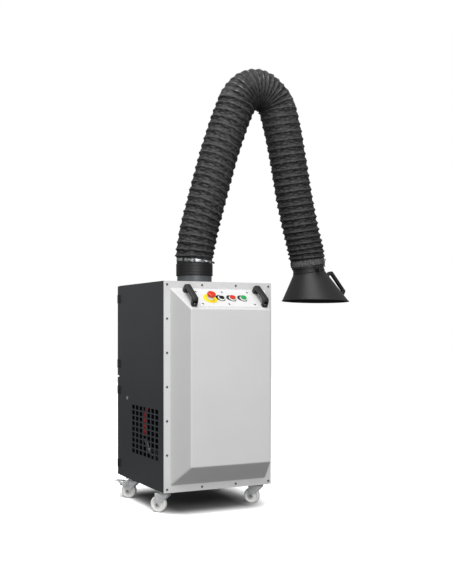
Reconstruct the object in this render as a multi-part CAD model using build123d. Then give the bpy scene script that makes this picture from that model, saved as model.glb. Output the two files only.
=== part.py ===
from build123d import *

import os
from math import atan2, cos, degrees, hypot, radians, sin, tan

# A mobile welding fume extractor: a steel case on four castors, with a jointed
# suction arm inside a ribbed hose. Millimetres, +Z up, front face towards -Y.
# The origin is on the floor under the centre of the case.

# Case
case_width = 550.0
case_depth = 600.0
case_height = 950.0
castor_height = 100.0
sheet = 1.5
base_sheet = 2.5
return_width = 30.0
upstand = 25.0
door_thick = 20.5
door_seam = 1.5
door_split_height = 496.0
door_gap = 9.0
door_end_gap = 2.0
overrun = 5.0
fit_gap = 0.3
running = 0.05
bolt_clear = 0.25

# Front pan
flange = 32.0
pan_proud = 130.0
pan_side_run = 44.0
pan_end_run = 95.0
pan_corner = 8.0
screw_columns = 4
screw_rows = 7
screw_radius = 2.5
screw_head_radius = 5.0
screw_head = 3.0
screw_length = 12.0
screw_chamfer = 1.0

# Control plate and controls, measured along the pan's top slope
plate_width = 288.0
plate_length = 134.0
plate_thick = 2.0
plate_corner = 8.0
plate_middle = 79.0
plate_screw_x = 131.0
plate_screw_y = 48.0
plate_screw_head = 4.0
control_row = 83.0
estop_x = -78.0
selector_x = -22.0
stop_x = 33.0
start_x = 89.0
barrel_radius = 11.0
barrel_length = 24.0
barrel_wall = 1.5
bezel_radius = 17.5
bezel_height = 5.0
bezel_edge = 1.0
gasket_radius = 19.0
gasket_thick = 1.5
ring_radius = 34.0
ring_thick = 2.0
collar_height = 12.0
button_travel = 3.0
button_radius = 14.0
button_cap = 3.0
mushroom_radius = 20.0
mushroom_height = 14.0
mushroom_round = 6.0
stem_below = 16.0
block_width = 30.0
block_depth = 44.0
block_height = 40.0
lever_length = 27.0
lever_width = 8.0
lever_height = 11.0
dial_radius = 13.0
dial_height = 3.0

# Lift handles
lift_x = 177.0
lift_start = 12.0
lift_length = 134.0
lift_rise = 40.0
lift_width = 27.0
lift_bar = 14.0
lift_foot = 24.0
lift_bevel = 6.0
lift_recess_radius = 7.5
lift_screw_radius = 3.0
lift_floor = 10.0
lift_screw_inset = 11.0

# Left side outlet grille and plug
grille_columns = 7
grille_rows = 9
grille_pitch_y = 49.3
grille_pitch_z = 26.4
grille_hole_y = 36.0
grille_hole_z = 20.0
grille_corner = 4.0
grille_from_front = 230.2
grille_height = 251.5
plug_radius = 9.0
plug_stem = 6.0
plug_thick = 3.0
plug_from_back = 139.2
plug_height = 393.4

# Doors, hinges and latches
frame_width = 30.0
frame_lip = 20.0
frame_rail = 40.0
seal_size = 10.0
seal_inset = 10.0
hinge_height = 41.0
hinge_leaf = 20.0
hinge_thick = 2.5
knuckle_radius = 3.8
knuckle_out = 4.0
knuckle_height = 13.0
knuckle_gap = 0.3
hinge_pin_radius = 2.0
hinge_low_inset = 58.5
hinge_high_inset = 64.0
latch_inset = 60.0
latch_stem = 8.0
latch_knob = 15.0
latch_knob_height = 9.0
latch_wing = 6.0
latch_cam_length = 34.0
latch_cam_width = 14.0
latch_cam_thick = 4.0
latch_cam_gap = 2.0

# Filters, deck and fan
deck_thick = 2.0
filter_side_gap = 18.5
filter_depth = 440.0
filter_height = 292.0
filter_frame = 12.0
filter_back_gap = 8.0
pleat_count = 26
pleat_thick = 1.2
spark_height = 48.0
spark_gap = 11.0
spark_count = 18
rail_width = 30.0
rail_thick = 2.0
fan_under_filter = 85.0
fan_height = 230.0
fan_width = 80.0
fan_radius = 175.0
fan_sheet = 2.0
outlet_reach = 232.0
outlet_height = 115.0
duct_half = 110.0
duct_depth = 70.0
duct_low = 130.0
inlet_radius = 75.0
impeller_radius = 140.0
impeller_width = 62.0
impeller_sheet = 2.0
blade_count = 11
blade_inner = 60.0
blade_turn = 38.0
hub_radius = 22.0
shaft_radius = 9.5
shaft_in_motor = 30.0
motor_radius = 72.0
motor_length = 190.0
motor_gap = 6.0
motor_boss = 30.0
motor_foot_width = 110.0
motor_foot_depth = 120.0
motor_fin = 6.0
motor_fins = 18
box_depth = 90.0
box_width = 180.0
box_height = 170.0
box_from_front = 330.0
box_above_base = 340.0

# Cable gland on the right side
gland_from_back = 100.0
gland_height = 60.0
gland_bore = 6.0
gland_thread = 10.0
gland_flat = 12.0
gland_hex = 8.0
gland_dome = 16.0
gland_nut = 6.0

# Castors
castor_side_inset = 34.0
castor_front_inset = 68.0
castor_rear_inset = 150.0
wheel_radius = 37.5
wheel_width = 24.0
wheel_web = 10.0
wheel_hub = 31.0
wheel_rim = 9.0
wheel_round = 3.0
hub_outer = 13.0
axle_radius = 4.0
axle_head = 7.0
axle_head_height = 3.5
trail = 30.0
trail_turn = 133.0
leg_gap = 32.0
leg_thick = 2.5
leg_end_radius = 13.0
leg_back = 24.0
race_height = 8.5
fork_disc = 29.0
fork_crown = 3.0
castor_plate_x = 68.0
castor_plate_y = 92.0
castor_plate = 2.5
race_radius = 24.0
race_gap = 0.5
kingpin = 6.0
castor_bolt = 4.0
castor_bolt_x = 25.0
castor_bolt_y = 37.0
castor_nut = 6.5
castor_nut_height = 5.0
pedal_pivot_out = 34.0
pedal_pivot_up = 31.5
pedal_pin = 3.0
pedal_ear = 2.0
pedal_gap = 0.5
pedal_length = 42.0
pedal_rise = 14.0
pedal_thick = 2.5
lug_radius = 7.0

# Arm: path of the hose in the plane Y = arm_y
arm_x = 0.0
arm_y = -30.0
spigot_radius = 84.0
spigot_wall = 2.0
spigot_flange = 105.0
spigot_flange_thick = 3.0
spigot_rise = 41.0
spigot_inside = 20.0
spigot_bolts = 6
spigot_bolt_ring = 95.0
sleeve_length = 33.0
sleeve_wall = 3.0
cuff_wall = 5.0
cuff_height = 57.0
hose_valley = 89.0
hose_crest = 97.0
hose_bore = 86.0
hose_sleeve = 30.0
hose_skin = 1.7
hose_grip = 0.4
hose_lip = 2.0
base_bend = 700.0
lean = 17.5
lower_run = 598.2
elbow_bend = 133.0
elbow_turn = 149.3
upper_run = 713.0
wrist_bend = 700.0
wrist_turn = 4.2
wrist_run = 41.0
lower_ribs = 16
base_ribs = 6
elbow_ribs = 16
upper_ribs = 15
tight_run = 153.0
tight_ribs = 6
wrist_ribs = 2
rib_shoulder_share = 0.8
rib_spread_share = 0.25
clamp_height = 16.0
clamp_thick = 1.2
clamp_screw_radius = 4.5
clamp_screw_length = 26.0

# Arm mechanism inside the hose
leg_width = 30.0
arm_leg_thick = 5.0
arm_leg_out = 71.0
arm_foot = 38.0
arm_pin = 8.0
arm_tube = 12.5
arm_tube_wall = 2.5
barrel_outer = 14.0
barrel_gap = 0.5
elbow_pivot_rise = 81.0
elbow_hub = 18.0
elbow_plate = 6.0
elbow_plate_gap = 0.5
elbow_arm_width = 24.0
elbow_arm_back = 24.0
plate_lap = 40.0
elbow_nut = 12.0
elbow_nut_height = 8.0

# Hood
collar_wall = 2.0
collar_lap = 14.0
neck_wall = 1.45
neck_start_gap = 0.5
neck_length = 38.0
throat_radius = 81.0
throat_step = 1.5
hood_rim_radius = 177.5
hood_rim_tilt = 1.3
hood_shift = 40.8
hood_drop = 150.2
hood_wall = 2.0
seam_bead = 1.5
seam_bead_height = 4.0
hood_grip_start = 29.0
hood_grip_length = 155.0
hood_grip_rise = 45.0
hood_grip_width = 22.0
hood_grip_bar = 16.0
hood_grip_foot = 20.0
damper_reach = 23.0
flap_radius = 70.0
flap_thick = 2.0
spindle_radius = 4.0
knob_height = 16.0
knob_radius = 12.0
knob_boss = 7.0
knob_boss_height = 11.0
wing_length = 34.0
wing_width = 8.0

# Places that follow from the sizes above
left = -case_width / 2
right = case_width / 2
front = -case_depth / 2
back = case_depth / 2
base = castor_height
top = castor_height + case_height
shell_back = back - door_thick - door_seam
door_front = shell_back + door_seam
inner_left = left + sheet
inner_right = right - sheet
skin_front = front + sheet
door_split = base + door_split_height
grille_y = front + grille_from_front
grille_z = base + grille_height
plug_y = back - plug_from_back
plug_z = base + plug_height
gland_y = back - gland_from_back
gland_z = base + gland_height
filter_width = inner_right - inner_left - 2 * filter_side_gap
filter_back = shell_back - frame_lip - filter_back_gap
fan_top = door_split - deck_thick / 2
spark_z = fan_top + deck_thick + filter_height + spark_gap
fan_y = filter_back - filter_depth + fan_under_filter
fan_z = base + fan_height
box_y = front + box_from_front
box_z = base + box_above_base
castor_x = right - castor_side_inset
castor_front_y = front + castor_front_inset
castor_rear_y = back - castor_rear_inset
fork_top = base - castor_plate - race_height - race_gap
pedal_pivot_z = wheel_radius + pedal_pivot_up
slope_top = top - flange
screw_edge = flange / 2
slope_angle = atan2(pan_end_run, pan_proud)
slope_normal = Vector(0, -sin(slope_angle), cos(slope_angle))
slope = Plane(origin=(0, front, slope_top), x_dir=(1, 0, 0), z_dir=slope_normal)
plate_low = base - castor_plate
fan_front = fan_y - fan_width / 2
fan_back = fan_y + fan_width / 2
duct_front = fan_front - duct_depth
hinge_x = left - knuckle_out
hinge_y = shell_back + door_seam / 2

os.makedirs("parts", exist_ok=True)


def write(name, *solids):
    """Store one sub-part as its own file."""
    shapes = [s for item in solids for s in item.solids()]
    export_step(Compound(children=shapes) if len(shapes) > 1 else shapes[0], f"parts/{name}.step")


def block(low, high):
    """A block between two opposite corners."""
    size = [b - a for a, b in zip(low, high)]
    middle = [(a + b) / 2 for a, b in zip(low, high)]
    return Pos(*middle) * Box(*size)


def rod(radius, start, end):
    """A round bar from one point to another."""
    start = Vector(*start)
    run = Vector(*end) - start
    plane = Plane(origin=start, z_dir=run)
    return plane * Cylinder(radius, run.length, align=(Align.CENTER, Align.CENTER, Align.MIN))


def tube(outer, inner, start, end):
    """A round tube from one point to another, open at both ends."""
    way = (Vector(*end) - Vector(*start)).normalized() * overrun
    return rod(outer, start, end) - rod(inner, Vector(*start) - way, Vector(*end) + way)


def slab(sketch, plane, thickness):
    """A flat sketch placed on a plane and given a thickness along its normal."""
    return extrude(plane * sketch, amount=thickness)


# Front pan: a flange on the front plane with a raised dish pressed out of it
def pan_dish(inset):
    """The dish's solid, drawn in by inset from the outside on every face."""
    depth = pan_proud - inset
    side = inset * hypot(pan_proud, pan_side_run) / pan_proud
    end = inset * hypot(pan_proud, pan_end_run) / pan_proud
    share = depth / pan_proud
    foot_w = case_width - 2 * (flange + side)
    foot_h = case_height - 2 * (flange + end)
    face_w = foot_w - 2 * pan_side_run * share
    face_h = foot_h - 2 * pan_end_run * share
    middle = (base + top) / 2
    foot = Plane(origin=(0, front, middle), x_dir=(1, 0, 0), z_dir=(0, -1, 0))
    face = foot.offset(depth)
    dish = loft([foot * Rectangle(foot_w, foot_h), face * Rectangle(face_w, face_h)], ruled=True)
    corner = pan_corner - inset
    edges = [e for e in dish.edges() if e.center().Y < front - inset - sheet]
    return fillet(edges, corner)


def pan_screw_places():
    """The flange screws' places: even steps round the flange's middle line."""
    step_x = (case_width - flange) / (screw_columns - 1)
    step_z = (case_height - flange) / (screw_rows - 1)
    places = []
    for i in range(screw_columns):
        for k in range(screw_rows):
            if i in (0, screw_columns - 1) or k in (0, screw_rows - 1):
                places.append((left + screw_edge + i * step_x, base + screw_edge + k * step_z))
    return places


def on_slope(x, down, height=0.0):
    """A point given along the pan's top slope: across, down from its top edge and proud of it."""
    return slope.from_local_coords(Vector(x, -down, height))


def slope_rod(radius, x, down, low, high):
    """A round bar square to the slope between two heights."""
    return rod(radius, on_slope(x, down, low), on_slope(x, down, high))


control_x = (estop_x, selector_x, stop_x, start_x)
plate_screws = [(side * plate_screw_x, plate_middle + end * plate_screw_y)
                for side in (-1, 0, 1) for end in (-1, 1)]
lift_screws = [(side * lift_x, lift_start + end)
               for side in (-1, 1) for end in (lift_screw_inset, lift_length - lift_screw_inset)]


def front_pan():
    dish = pan_dish(0.0) - pan_dish(sheet)
    plate = block((left, front, base), (right, skin_front, top))
    middle = (base + top) / 2
    mouth_w = case_width - 2 * flange - 2 * sheet * hypot(pan_proud, pan_side_run) / pan_proud
    mouth_h = case_height - 2 * flange - 2 * sheet * hypot(pan_proud, pan_end_run) / pan_proud
    mouth = Plane(origin=(0, skin_front + overrun, middle), x_dir=(1, 0, 0), z_dir=(0, -1, 0))
    pan = dish + (plate - slab(Rectangle(mouth_w, mouth_h), mouth, sheet + 2 * overrun - sheet))
    for x, z in pan_screw_places():
        pan -= rod(screw_radius + bolt_clear, (x, front - overrun, z), (x, skin_front + overrun, z))
    for x in control_x:
        pan -= slope_rod(barrel_radius + bolt_clear, x, control_row, -2 * overrun, overrun)
    for x, down in plate_screws:
        pan -= slope_rod(screw_radius + bolt_clear, x, down, -2 * overrun, overrun)
    for x, down in lift_screws:
        pan -= slope_rod(lift_screw_radius + bolt_clear, x, down, -2 * overrun, overrun)
    return pan


def control_plate():
    seat = slope * Pos(0, -plate_middle, 0)
    plate = extrude(seat * RectangleRounded(plate_width, plate_length, plate_corner), plate_thick)
    for x in control_x:
        plate -= slope_rod(barrel_radius + bolt_clear, x, control_row, -overrun, overrun)
    for x, down in plate_screws:
        plate -= slope_rod(screw_radius + bolt_clear, x, down, -overrun, overrun)
    return plate


def screw(head_radius, radius, seat, way, length):
    """A pan-head screw: the head stands on seat, the shank runs along way."""
    seat = Vector(*seat)
    way = Vector(*way)
    head = rod(head_radius, seat, seat - way * screw_head)
    head = chamfer(head.edges().sort_by(Axis(seat, way))[0], screw_chamfer)
    slot = Plane(origin=seat - way * screw_head, z_dir=way) * Box(head_radius, screw_chamfer, screw_chamfer)
    return head + rod(radius, seat, seat + way * length) - slot


def panel_screws():
    found = [screw(screw_head_radius, screw_radius, (x, front, z), (0, 1, 0), screw_length)
             for x, z in pan_screw_places()]
    down_way = slope_normal * -1
    found += [screw(plate_screw_head, screw_radius, on_slope(x, down, plate_thick), down_way, screw_length)
              for x, down in plate_screws]
    found += [screw(lift_recess_radius - fit_gap, lift_screw_radius, on_slope(x, down, lift_floor),
                    down_way, lift_floor + screw_length) for x, down in lift_screws]
    return found


def bridge(length, rise, bar, foot, width, bevel):
    """A bridge handle along +X with its feet on Z = 0, across the width in Y."""
    outer = [(0, 0), (bevel / 2, rise * 2 / 3), (bevel * 2, rise),
             (length - bevel * 2, rise), (length - bevel / 2, rise * 2 / 3), (length, 0)]
    inner = [(length - foot, 0), (length - foot, rise - bar - bevel), (length - foot - bevel, rise - bar),
             (foot + bevel, rise - bar), (foot, rise - bar - bevel), (foot, 0)]
    side = Plane(origin=(0, width / 2, 0), x_dir=(1, 0, 0), z_dir=(0, -1, 0))
    body = extrude(side * make_face(Polyline(*outer, *inner, close=True)), width)
    edges = [e for e in body.edges()
             if abs(abs(e.center().Y) - width / 2) < bevel / 10 and abs(e.tangent_at(0).Y) < bevel / 10
             and e.center().Z > rise / 2]
    return chamfer(edges, bevel * 2 / 3)


def lift_handle(side):
    body = bridge(lift_length, lift_rise, lift_bar, lift_foot, lift_width, lift_bevel)
    place = Plane(origin=on_slope(side * lift_x, lift_start), x_dir=on_slope(0, 1) - on_slope(0, 0),
                  z_dir=slope_normal)
    handle = place * body
    for x, down in lift_screws:
        if x * side > 0:
            handle -= slope_rod(lift_recess_radius, x, down, lift_floor, lift_rise + overrun)
            handle -= slope_rod(lift_screw_radius + bolt_clear, x, down, -overrun, lift_rise)
    return handle


# Controls
def bezel(x, height):
    """A threaded barrel through the plate with a turned rim on it."""
    rim = slope_rod(bezel_radius, x, control_row, seat_height(x), seat_height(x) + height)
    rim = chamfer(rim.edges().sort_by(Axis(on_slope(x, control_row), slope_normal))[-1], bezel_edge)
    barrel = slope_rod(barrel_radius, x, control_row, plate_thick - barrel_length, seat_height(x) + height)
    bore = slope_rod(barrel_radius - barrel_wall, x, control_row, -barrel_length - overrun,
                     seat_height(x) + height + overrun)
    return rim + barrel - bore


def seat_height(x):
    """The height of a control's rim: on the yellow ring, or on its gasket."""
    return plate_thick + (ring_thick if x == estop_x else gasket_thick)


def control_bezels():
    return [bezel(x, collar_height if x == estop_x else bezel_height) for x in control_x]


def contact_blocks():
    found = []
    for x in control_x:
        low = plate_thick - barrel_length
        seat = Plane(origin=on_slope(x, control_row, low), x_dir=(1, 0, 0), z_dir=slope_normal * -1)
        found.append(extrude(seat * Rectangle(block_width, block_depth), block_height))
        if x != estop_x:
            gasket = slope_rod(gasket_radius, x, control_row, plate_thick, seat_height(x))
            found.append(gasket - slope_rod(barrel_radius + fit_gap, x, control_row, -overrun, overrun * 2))
    return found


def estop_ring():
    ring = slope_rod(ring_radius, estop_x, control_row, plate_thick, plate_thick + ring_thick)
    return ring - slope_rod(barrel_radius + fit_gap, estop_x, control_row, -overrun, overrun * 2)


def stem(x, high):
    """The plunger that slides or turns in a control's barrel."""
    return slope_rod(barrel_radius - barrel_wall - running, x, control_row, plate_thick - stem_below, high)


def push_button(x):
    """A flat coloured head that stands clear of its bezel by its travel."""
    low = seat_height(x) + bezel_height + button_travel + fit_gap
    head = slope_rod(button_radius, x, control_row, low, low + button_cap)
    head = chamfer(head.edges().sort_by(Axis(on_slope(x, control_row), slope_normal))[-1], bezel_edge)
    return head + stem(x, low + button_cap / 2)


def estop_button():
    low = seat_height(estop_x) + collar_height + button_travel + fit_gap
    head = slope_rod(mushroom_radius, estop_x, control_row, low, low + mushroom_height)
    rims = head.edges().sort_by(Axis(on_slope(estop_x, control_row), slope_normal))
    head = fillet(rims[-1], mushroom_round)
    return head + stem(estop_x, low + mushroom_height / 2)


def selector_knob():
    low = seat_height(selector_x) + bezel_height + fit_gap
    dial = slope_rod(dial_radius, selector_x, control_row, low, low + dial_height)
    seat = Plane(origin=on_slope(selector_x, control_row, low), x_dir=(1, 0, 0), z_dir=slope_normal)
    lever = extrude(seat * Rectangle(lever_width, lever_length), dial_height + lever_height)
    outward = Axis(on_slope(selector_x, control_row), slope_normal)
    lever = chamfer(lever.edges().group_by(outward)[-1], bezel_edge)
    return dial + lever + stem(selector_x, low + dial_height)


# Case panels
def side_panel(side):
    """A flat side with a folded edge behind the pan's flange and a filter rail."""
    outer = side * case_width / 2
    inner = outer - side * sheet
    panel = block((min(outer, inner), skin_front, base), (max(outer, inner), shell_back, top))
    fold = inner - side * return_width
    panel += block((min(fold, inner), skin_front, base + base_sheet),
                   (max(fold, inner), skin_front + sheet, top - sheet))
    rail = inner - side * rail_width
    panel += block((min(rail, inner), filter_back - filter_depth, spark_z - rail_thick),
                   (max(rail, inner), filter_back, spark_z))
    for x, z in pan_screw_places():
        if x * side > 0 and abs(x) > case_width / 2 - flange:
            panel -= rod(screw_radius + bolt_clear, (x, front, z), (x, skin_front + overrun, z))
    return panel


def left_side_panel():
    panel = side_panel(-1)
    hole = RectangleRounded(grille_hole_y, grille_hole_z, grille_corner)
    for i in range(grille_columns):
        for k in range(grille_rows):
            y = grille_y + (i - (grille_columns - 1) / 2) * grille_pitch_y
            z = grille_z + (k - (grille_rows - 1) / 2) * grille_pitch_z
            face = Plane(origin=(left - overrun, y, z), x_dir=(0, 1, 0), z_dir=(1, 0, 0))
            panel -= slab(hole, face, sheet + 2 * overrun)
    return panel - rod(plug_stem + bolt_clear, (left - overrun, plug_y, plug_z),
                       (left + overrun, plug_y, plug_z))


def right_side_panel():
    return side_panel(1) - rod(gland_thread + bolt_clear, (right - overrun, gland_y, gland_z),
                               (right + overrun, gland_y, gland_z))


def side_plug():
    head = rod(plug_radius, (left, plug_y, plug_z), (left - plug_thick, plug_y, plug_z))
    head = chamfer(head.edges().sort_by(Axis.X)[0], plug_thick / 3)
    return head + rod(plug_stem, (left, plug_y, plug_z), (left + sheet + plug_thick, plug_y, plug_z))


def cross_panel(outer, inner, fold_to):
    """The top or base sheet between the sides, folded down or up along all four edges."""
    panel = block((inner_left, skin_front, min(outer, inner)), (inner_right, shell_back, max(outer, inner)))
    low, high = min(fold_to, inner), max(fold_to, inner)
    for x in (inner_left, inner_right - sheet):
        panel += block((x, skin_front + 2 * sheet, low), (x + sheet, shell_back - frame_lip - sheet, high))
    ends = return_width + fit_gap
    panel += block((inner_left + ends, skin_front, low), (inner_right - ends, skin_front + sheet, high))
    for x, z in pan_screw_places():
        if min(outer, fold_to) < z < max(outer, fold_to) and abs(x) < case_width / 2 - flange:
            panel -= rod(screw_radius + bolt_clear, (x, front, z), (x, skin_front + overrun, z))
    return panel


def base_pan():
    pan = cross_panel(base, base + base_sheet, base + upstand)
    for x, y in castor_places():
        for dx in (-castor_bolt_x, castor_bolt_x):
            for dy in (-castor_bolt_y, castor_bolt_y):
                pan -= rod(castor_bolt + bolt_clear, (x + dx, y + dy, base - overrun),
                           (x + dx, y + dy, base + overrun))
    return pan


def bolt_ring(radius, count):
    """Places on a circle about the arm's base."""
    return [(arm_x + radius * cos(radians(360 * (i + 0.5) / count)),
             arm_y + radius * sin(radians(360 * (i + 0.5) / count))) for i in range(count)]


def top_panel():
    panel = cross_panel(top, top - sheet, top - upstand)
    panel -= rod(spigot_radius + bolt_clear, (arm_x, arm_y, top - overrun), (arm_x, arm_y, top + overrun))
    for x, y in bolt_ring(spigot_bolt_ring, spigot_bolts):
        panel -= rod(screw_radius + bolt_clear, (x, y, top - overrun), (x, y, top + overrun))
    return panel


def rear_frame():
    """A ring of folded sheet round the two door openings."""
    low, high = base + base_sheet, top - sheet
    ring = block((inner_left, shell_back - sheet, low), (inner_right, shell_back, high))
    spans = ((low + frame_width, door_split - frame_rail / 2),
             (door_split + frame_rail / 2, high - frame_width))
    near, far = inner_left + frame_width, inner_right - frame_width
    for z0, z1 in spans:
        outer = block((near, shell_back - frame_lip, z0), (far, shell_back, z1))
        inner = block((near + sheet, shell_back - frame_lip - overrun, z0 + sheet),
                      (far - sheet, shell_back + overrun, z1 - sheet))
        ring = ring + outer - inner
    return ring


def door_spans():
    """The lower and the upper door, as heights."""
    return ((base + door_end_gap, door_split - door_gap / 2), (door_split + door_gap / 2, top - door_end_gap))


def hinge_heights(span):
    """The middles of a door's two hinges."""
    return (span[0] + hinge_low_inset, span[1] - hinge_high_inset)


def door_seals():
    found = []
    for z0, z1 in door_spans():
        low, high = z0 + seal_inset, z1 - seal_inset
        ring = block((left + seal_inset, shell_back, low), (right - seal_inset, shell_back + seal_size, high))
        found.append(ring - block((left + seal_inset + seal_size, shell_back - overrun, low + seal_size),
                                  (right - seal_inset - seal_size, back, high - seal_size)))
    return found


def latch_place(span):
    return (right - latch_inset, (span[0] + span[1]) / 2)


def door(span):
    z0, z1 = span
    pan = block((left, door_front, z0), (right, back, z1))
    pan -= block((left + sheet, door_front - overrun, z0 + sheet), (right - sheet, back - sheet, z1 - sheet))
    x, z = latch_place(span)
    return pan - rod(latch_stem + running, (x, door_front, z), (x, back + overrun, z))


def latch(span):
    """A quarter-turn latch, drawn unlocked: the cam hangs down, clear of the frame's lip."""
    x, z = latch_place(span)
    lip = shell_back - frame_lip
    cam_back = lip - latch_cam_gap
    stem_bar = rod(latch_stem, (x, cam_back - latch_cam_thick, z), (x, back + latch_knob_height, z))
    knob = rod(latch_knob, (x, back + fit_gap, z), (x, back + latch_knob_height / 2, z))
    wing = block((x - latch_wing / 2, back + latch_knob_height / 2 - sheet, z - latch_knob),
                 (x + latch_wing / 2, back + latch_knob_height, z + latch_knob))
    cam = block((x - latch_cam_width / 2, cam_back - latch_cam_thick, z - latch_cam_length),
                (x + latch_cam_width / 2, cam_back, z + latch_stem))
    return stem_bar + knob + wing + cam


def hinge_half(z, on_door):
    """One half of a side hinge: a leaf on the side face and its share of the knuckles."""
    way = 1 if on_door else -1
    low, high = z - hinge_height / 2, z + hinge_height / 2
    near = hinge_y + way * (knuckle_radius + running + fit_gap)
    far = hinge_y + way * (door_seam / 2 + hinge_leaf)
    half = block((left - hinge_thick, min(near, far), low), (left, max(near, far), high))
    if on_door:
        spans = [(low + knuckle_height + knuckle_gap, high - knuckle_height - knuckle_gap)]
    else:
        spans = [(low, low + knuckle_height), (high - knuckle_height, high)]
    for z0, z1 in spans:
        half += block((left - hinge_thick, min(hinge_y, near), z0), (left - fit_gap, max(hinge_y, near), z1))
        half += rod(knuckle_radius, (hinge_x, hinge_y, z0), (hinge_x, hinge_y, z1))
    bore = hinge_pin_radius + (running if on_door else 0)
    return half - rod(bore, (hinge_x, hinge_y, low - overrun), (hinge_x, hinge_y, high + overrun))


def hinge_leaves():
    found = []
    for z in [z for span in door_spans() for z in hinge_heights(span)]:
        pin = rod(hinge_pin_radius, (hinge_x, hinge_y, z - hinge_height / 2),
                  (hinge_x, hinge_y, z + hinge_height / 2))
        found.append(hinge_half(z, False) + pin)
    return found


# Filters, deck and fan
def fan_deck():
    deck = block((inner_left, skin_front + 2 * sheet, fan_top),
                 (inner_right, shell_back - frame_lip - sheet, fan_top + deck_thick))
    mouth = fan_sheet * 2
    return deck - block((-duct_half + mouth, duct_front + mouth, fan_top - overrun),
                        (duct_half - mouth, fan_front - mouth, fan_top + deck_thick + overrun))


def pleats(width, depth, low, high, count):
    """A folded sheet standing on edge: a zigzag of even folds through the height."""
    step = width / count
    rise = pleat_thick * hypot(step, high - low) / step
    points = [(-width / 2 + i * step, low if i % 2 else high - rise) for i in range(count + 1)]
    far = [(x, z + rise) for x, z in reversed(points)]
    face = make_face(Polyline(*points, *far, close=True))
    plane = Plane(origin=(0, filter_back - filter_frame, 0), x_dir=(1, 0, 0), z_dir=(0, -1, 0))
    return extrude(plane * face, depth)


def filter_box(low, height, count):
    half = filter_width / 2
    near = filter_back - filter_depth
    frame = block((-half, near, low), (half, filter_back, low + height))
    frame -= block((-half + filter_frame, near + filter_frame, low - overrun),
                   (half - filter_frame, filter_back - filter_frame, low + height + overrun))
    inner = filter_width - 2 * filter_frame
    media = pleats(inner, filter_depth - 2 * filter_frame, low + filter_frame, low + height - filter_frame,
                   count)
    return frame, media


def fan_housing():
    """The scroll, its outlet towards the grille and the suction box from the deck."""
    def body(inset):
        scroll = rod(fan_radius - inset, (0, fan_front + inset, fan_z), (0, fan_back - inset, fan_z))
        low = fan_z - fan_radius + inset
        outlet = block((-outlet_reach - (overrun if inset else 0), fan_front + inset, low),
                       (0, fan_back - inset, low + outlet_height - 2 * inset))
        return scroll + outlet

    duct = block((-duct_half, duct_front, fan_z - duct_low), (duct_half, fan_front, fan_top))
    duct -= block((-duct_half + fan_sheet, duct_front + fan_sheet, fan_z - duct_low + fan_sheet),
                  (duct_half - fan_sheet, fan_front, fan_top + overrun))
    inlet = rod(inlet_radius, (0, fan_front - overrun, fan_z), (0, fan_front + overrun, fan_z))
    shaft_hole = rod(shaft_radius * 2, (0, fan_back - overrun, fan_z), (0, fan_back + overrun, fan_z))
    return body(0.0) + duct - body(fan_sheet) - inlet - shaft_hole


impeller_front = fan_front + fan_sheet + (fan_width - 2 * fan_sheet - impeller_width) / 2
impeller_back = impeller_front + impeller_width
motor_front = fan_back + motor_gap


def impeller():
    disc = rod(impeller_radius, (0, impeller_back - impeller_sheet, fan_z), (0, impeller_back, fan_z))
    ring = tube(impeller_radius, inlet_radius, (0, impeller_front, fan_z),
                (0, impeller_front + impeller_sheet, fan_z))
    wheel = disc + ring + rod(hub_radius, (0, impeller_back - impeller_width / 2, fan_z),
                              (0, impeller_back, fan_z))
    reach = impeller_radius - blade_inner
    for i in range(blade_count):
        turn = 360 / blade_count * i
        blade = Pos(0, 0, blade_inner + reach / 2) * Rot(0, blade_turn, 0) * Box(
            impeller_sheet, impeller_width - impeller_sheet, reach)
        seat = Pos(0, (impeller_front + impeller_back) / 2, fan_z)
        wheel += seat * Rot(0, turn, 0) * blade
    limit = tube(impeller_radius + reach, impeller_radius, (0, impeller_front - overrun, fan_z),
                 (0, impeller_back + overrun, fan_z))
    wheel -= limit
    shaft = rod(shaft_radius, (0, impeller_back - impeller_width / 2, fan_z),
                (0, motor_front + shaft_in_motor, fan_z))
    return wheel + shaft


def fan_motor():
    end = motor_front + motor_length
    body = rod(motor_radius - motor_fin, (0, motor_front, fan_z), (0, end, fan_z))
    for i in range(motor_fins):
        fin = Pos(0, (motor_front + end) / 2, fan_z) * Rot(0, 360 / motor_fins * i, 0) * Pos(
            0, 0, motor_radius - motor_fin) * Box(motor_fin / 2, motor_length - 2 * motor_boss, motor_fin * 2)
        body += fin
    foot_y = motor_front + motor_boss
    body += block((-motor_foot_width / 2, foot_y, base + base_sheet),
                  (motor_foot_width / 2, foot_y + motor_foot_depth, fan_z))
    body -= block((-motor_foot_width / 2 + motor_fin, foot_y - overrun, base + base_sheet + motor_fin),
                  (motor_foot_width / 2 - motor_fin, foot_y + motor_foot_depth + overrun,
                   fan_z - motor_radius - motor_fin))
    body += rod(motor_radius - motor_fin, (0, foot_y, fan_z), (0, foot_y + motor_foot_depth, fan_z))
    return body - rod(shaft_radius + running, (0, motor_front - overrun, fan_z),
                      (0, motor_front + shaft_in_motor + fit_gap, fan_z))


def contactor_box():
    case = block((inner_right - box_depth, box_y - box_width / 2, box_z - box_height / 2),
                 (inner_right, box_y + box_width / 2, box_z + box_height / 2))
    return fillet(case.edges().filter_by(Axis.X), motor_fin)


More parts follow.
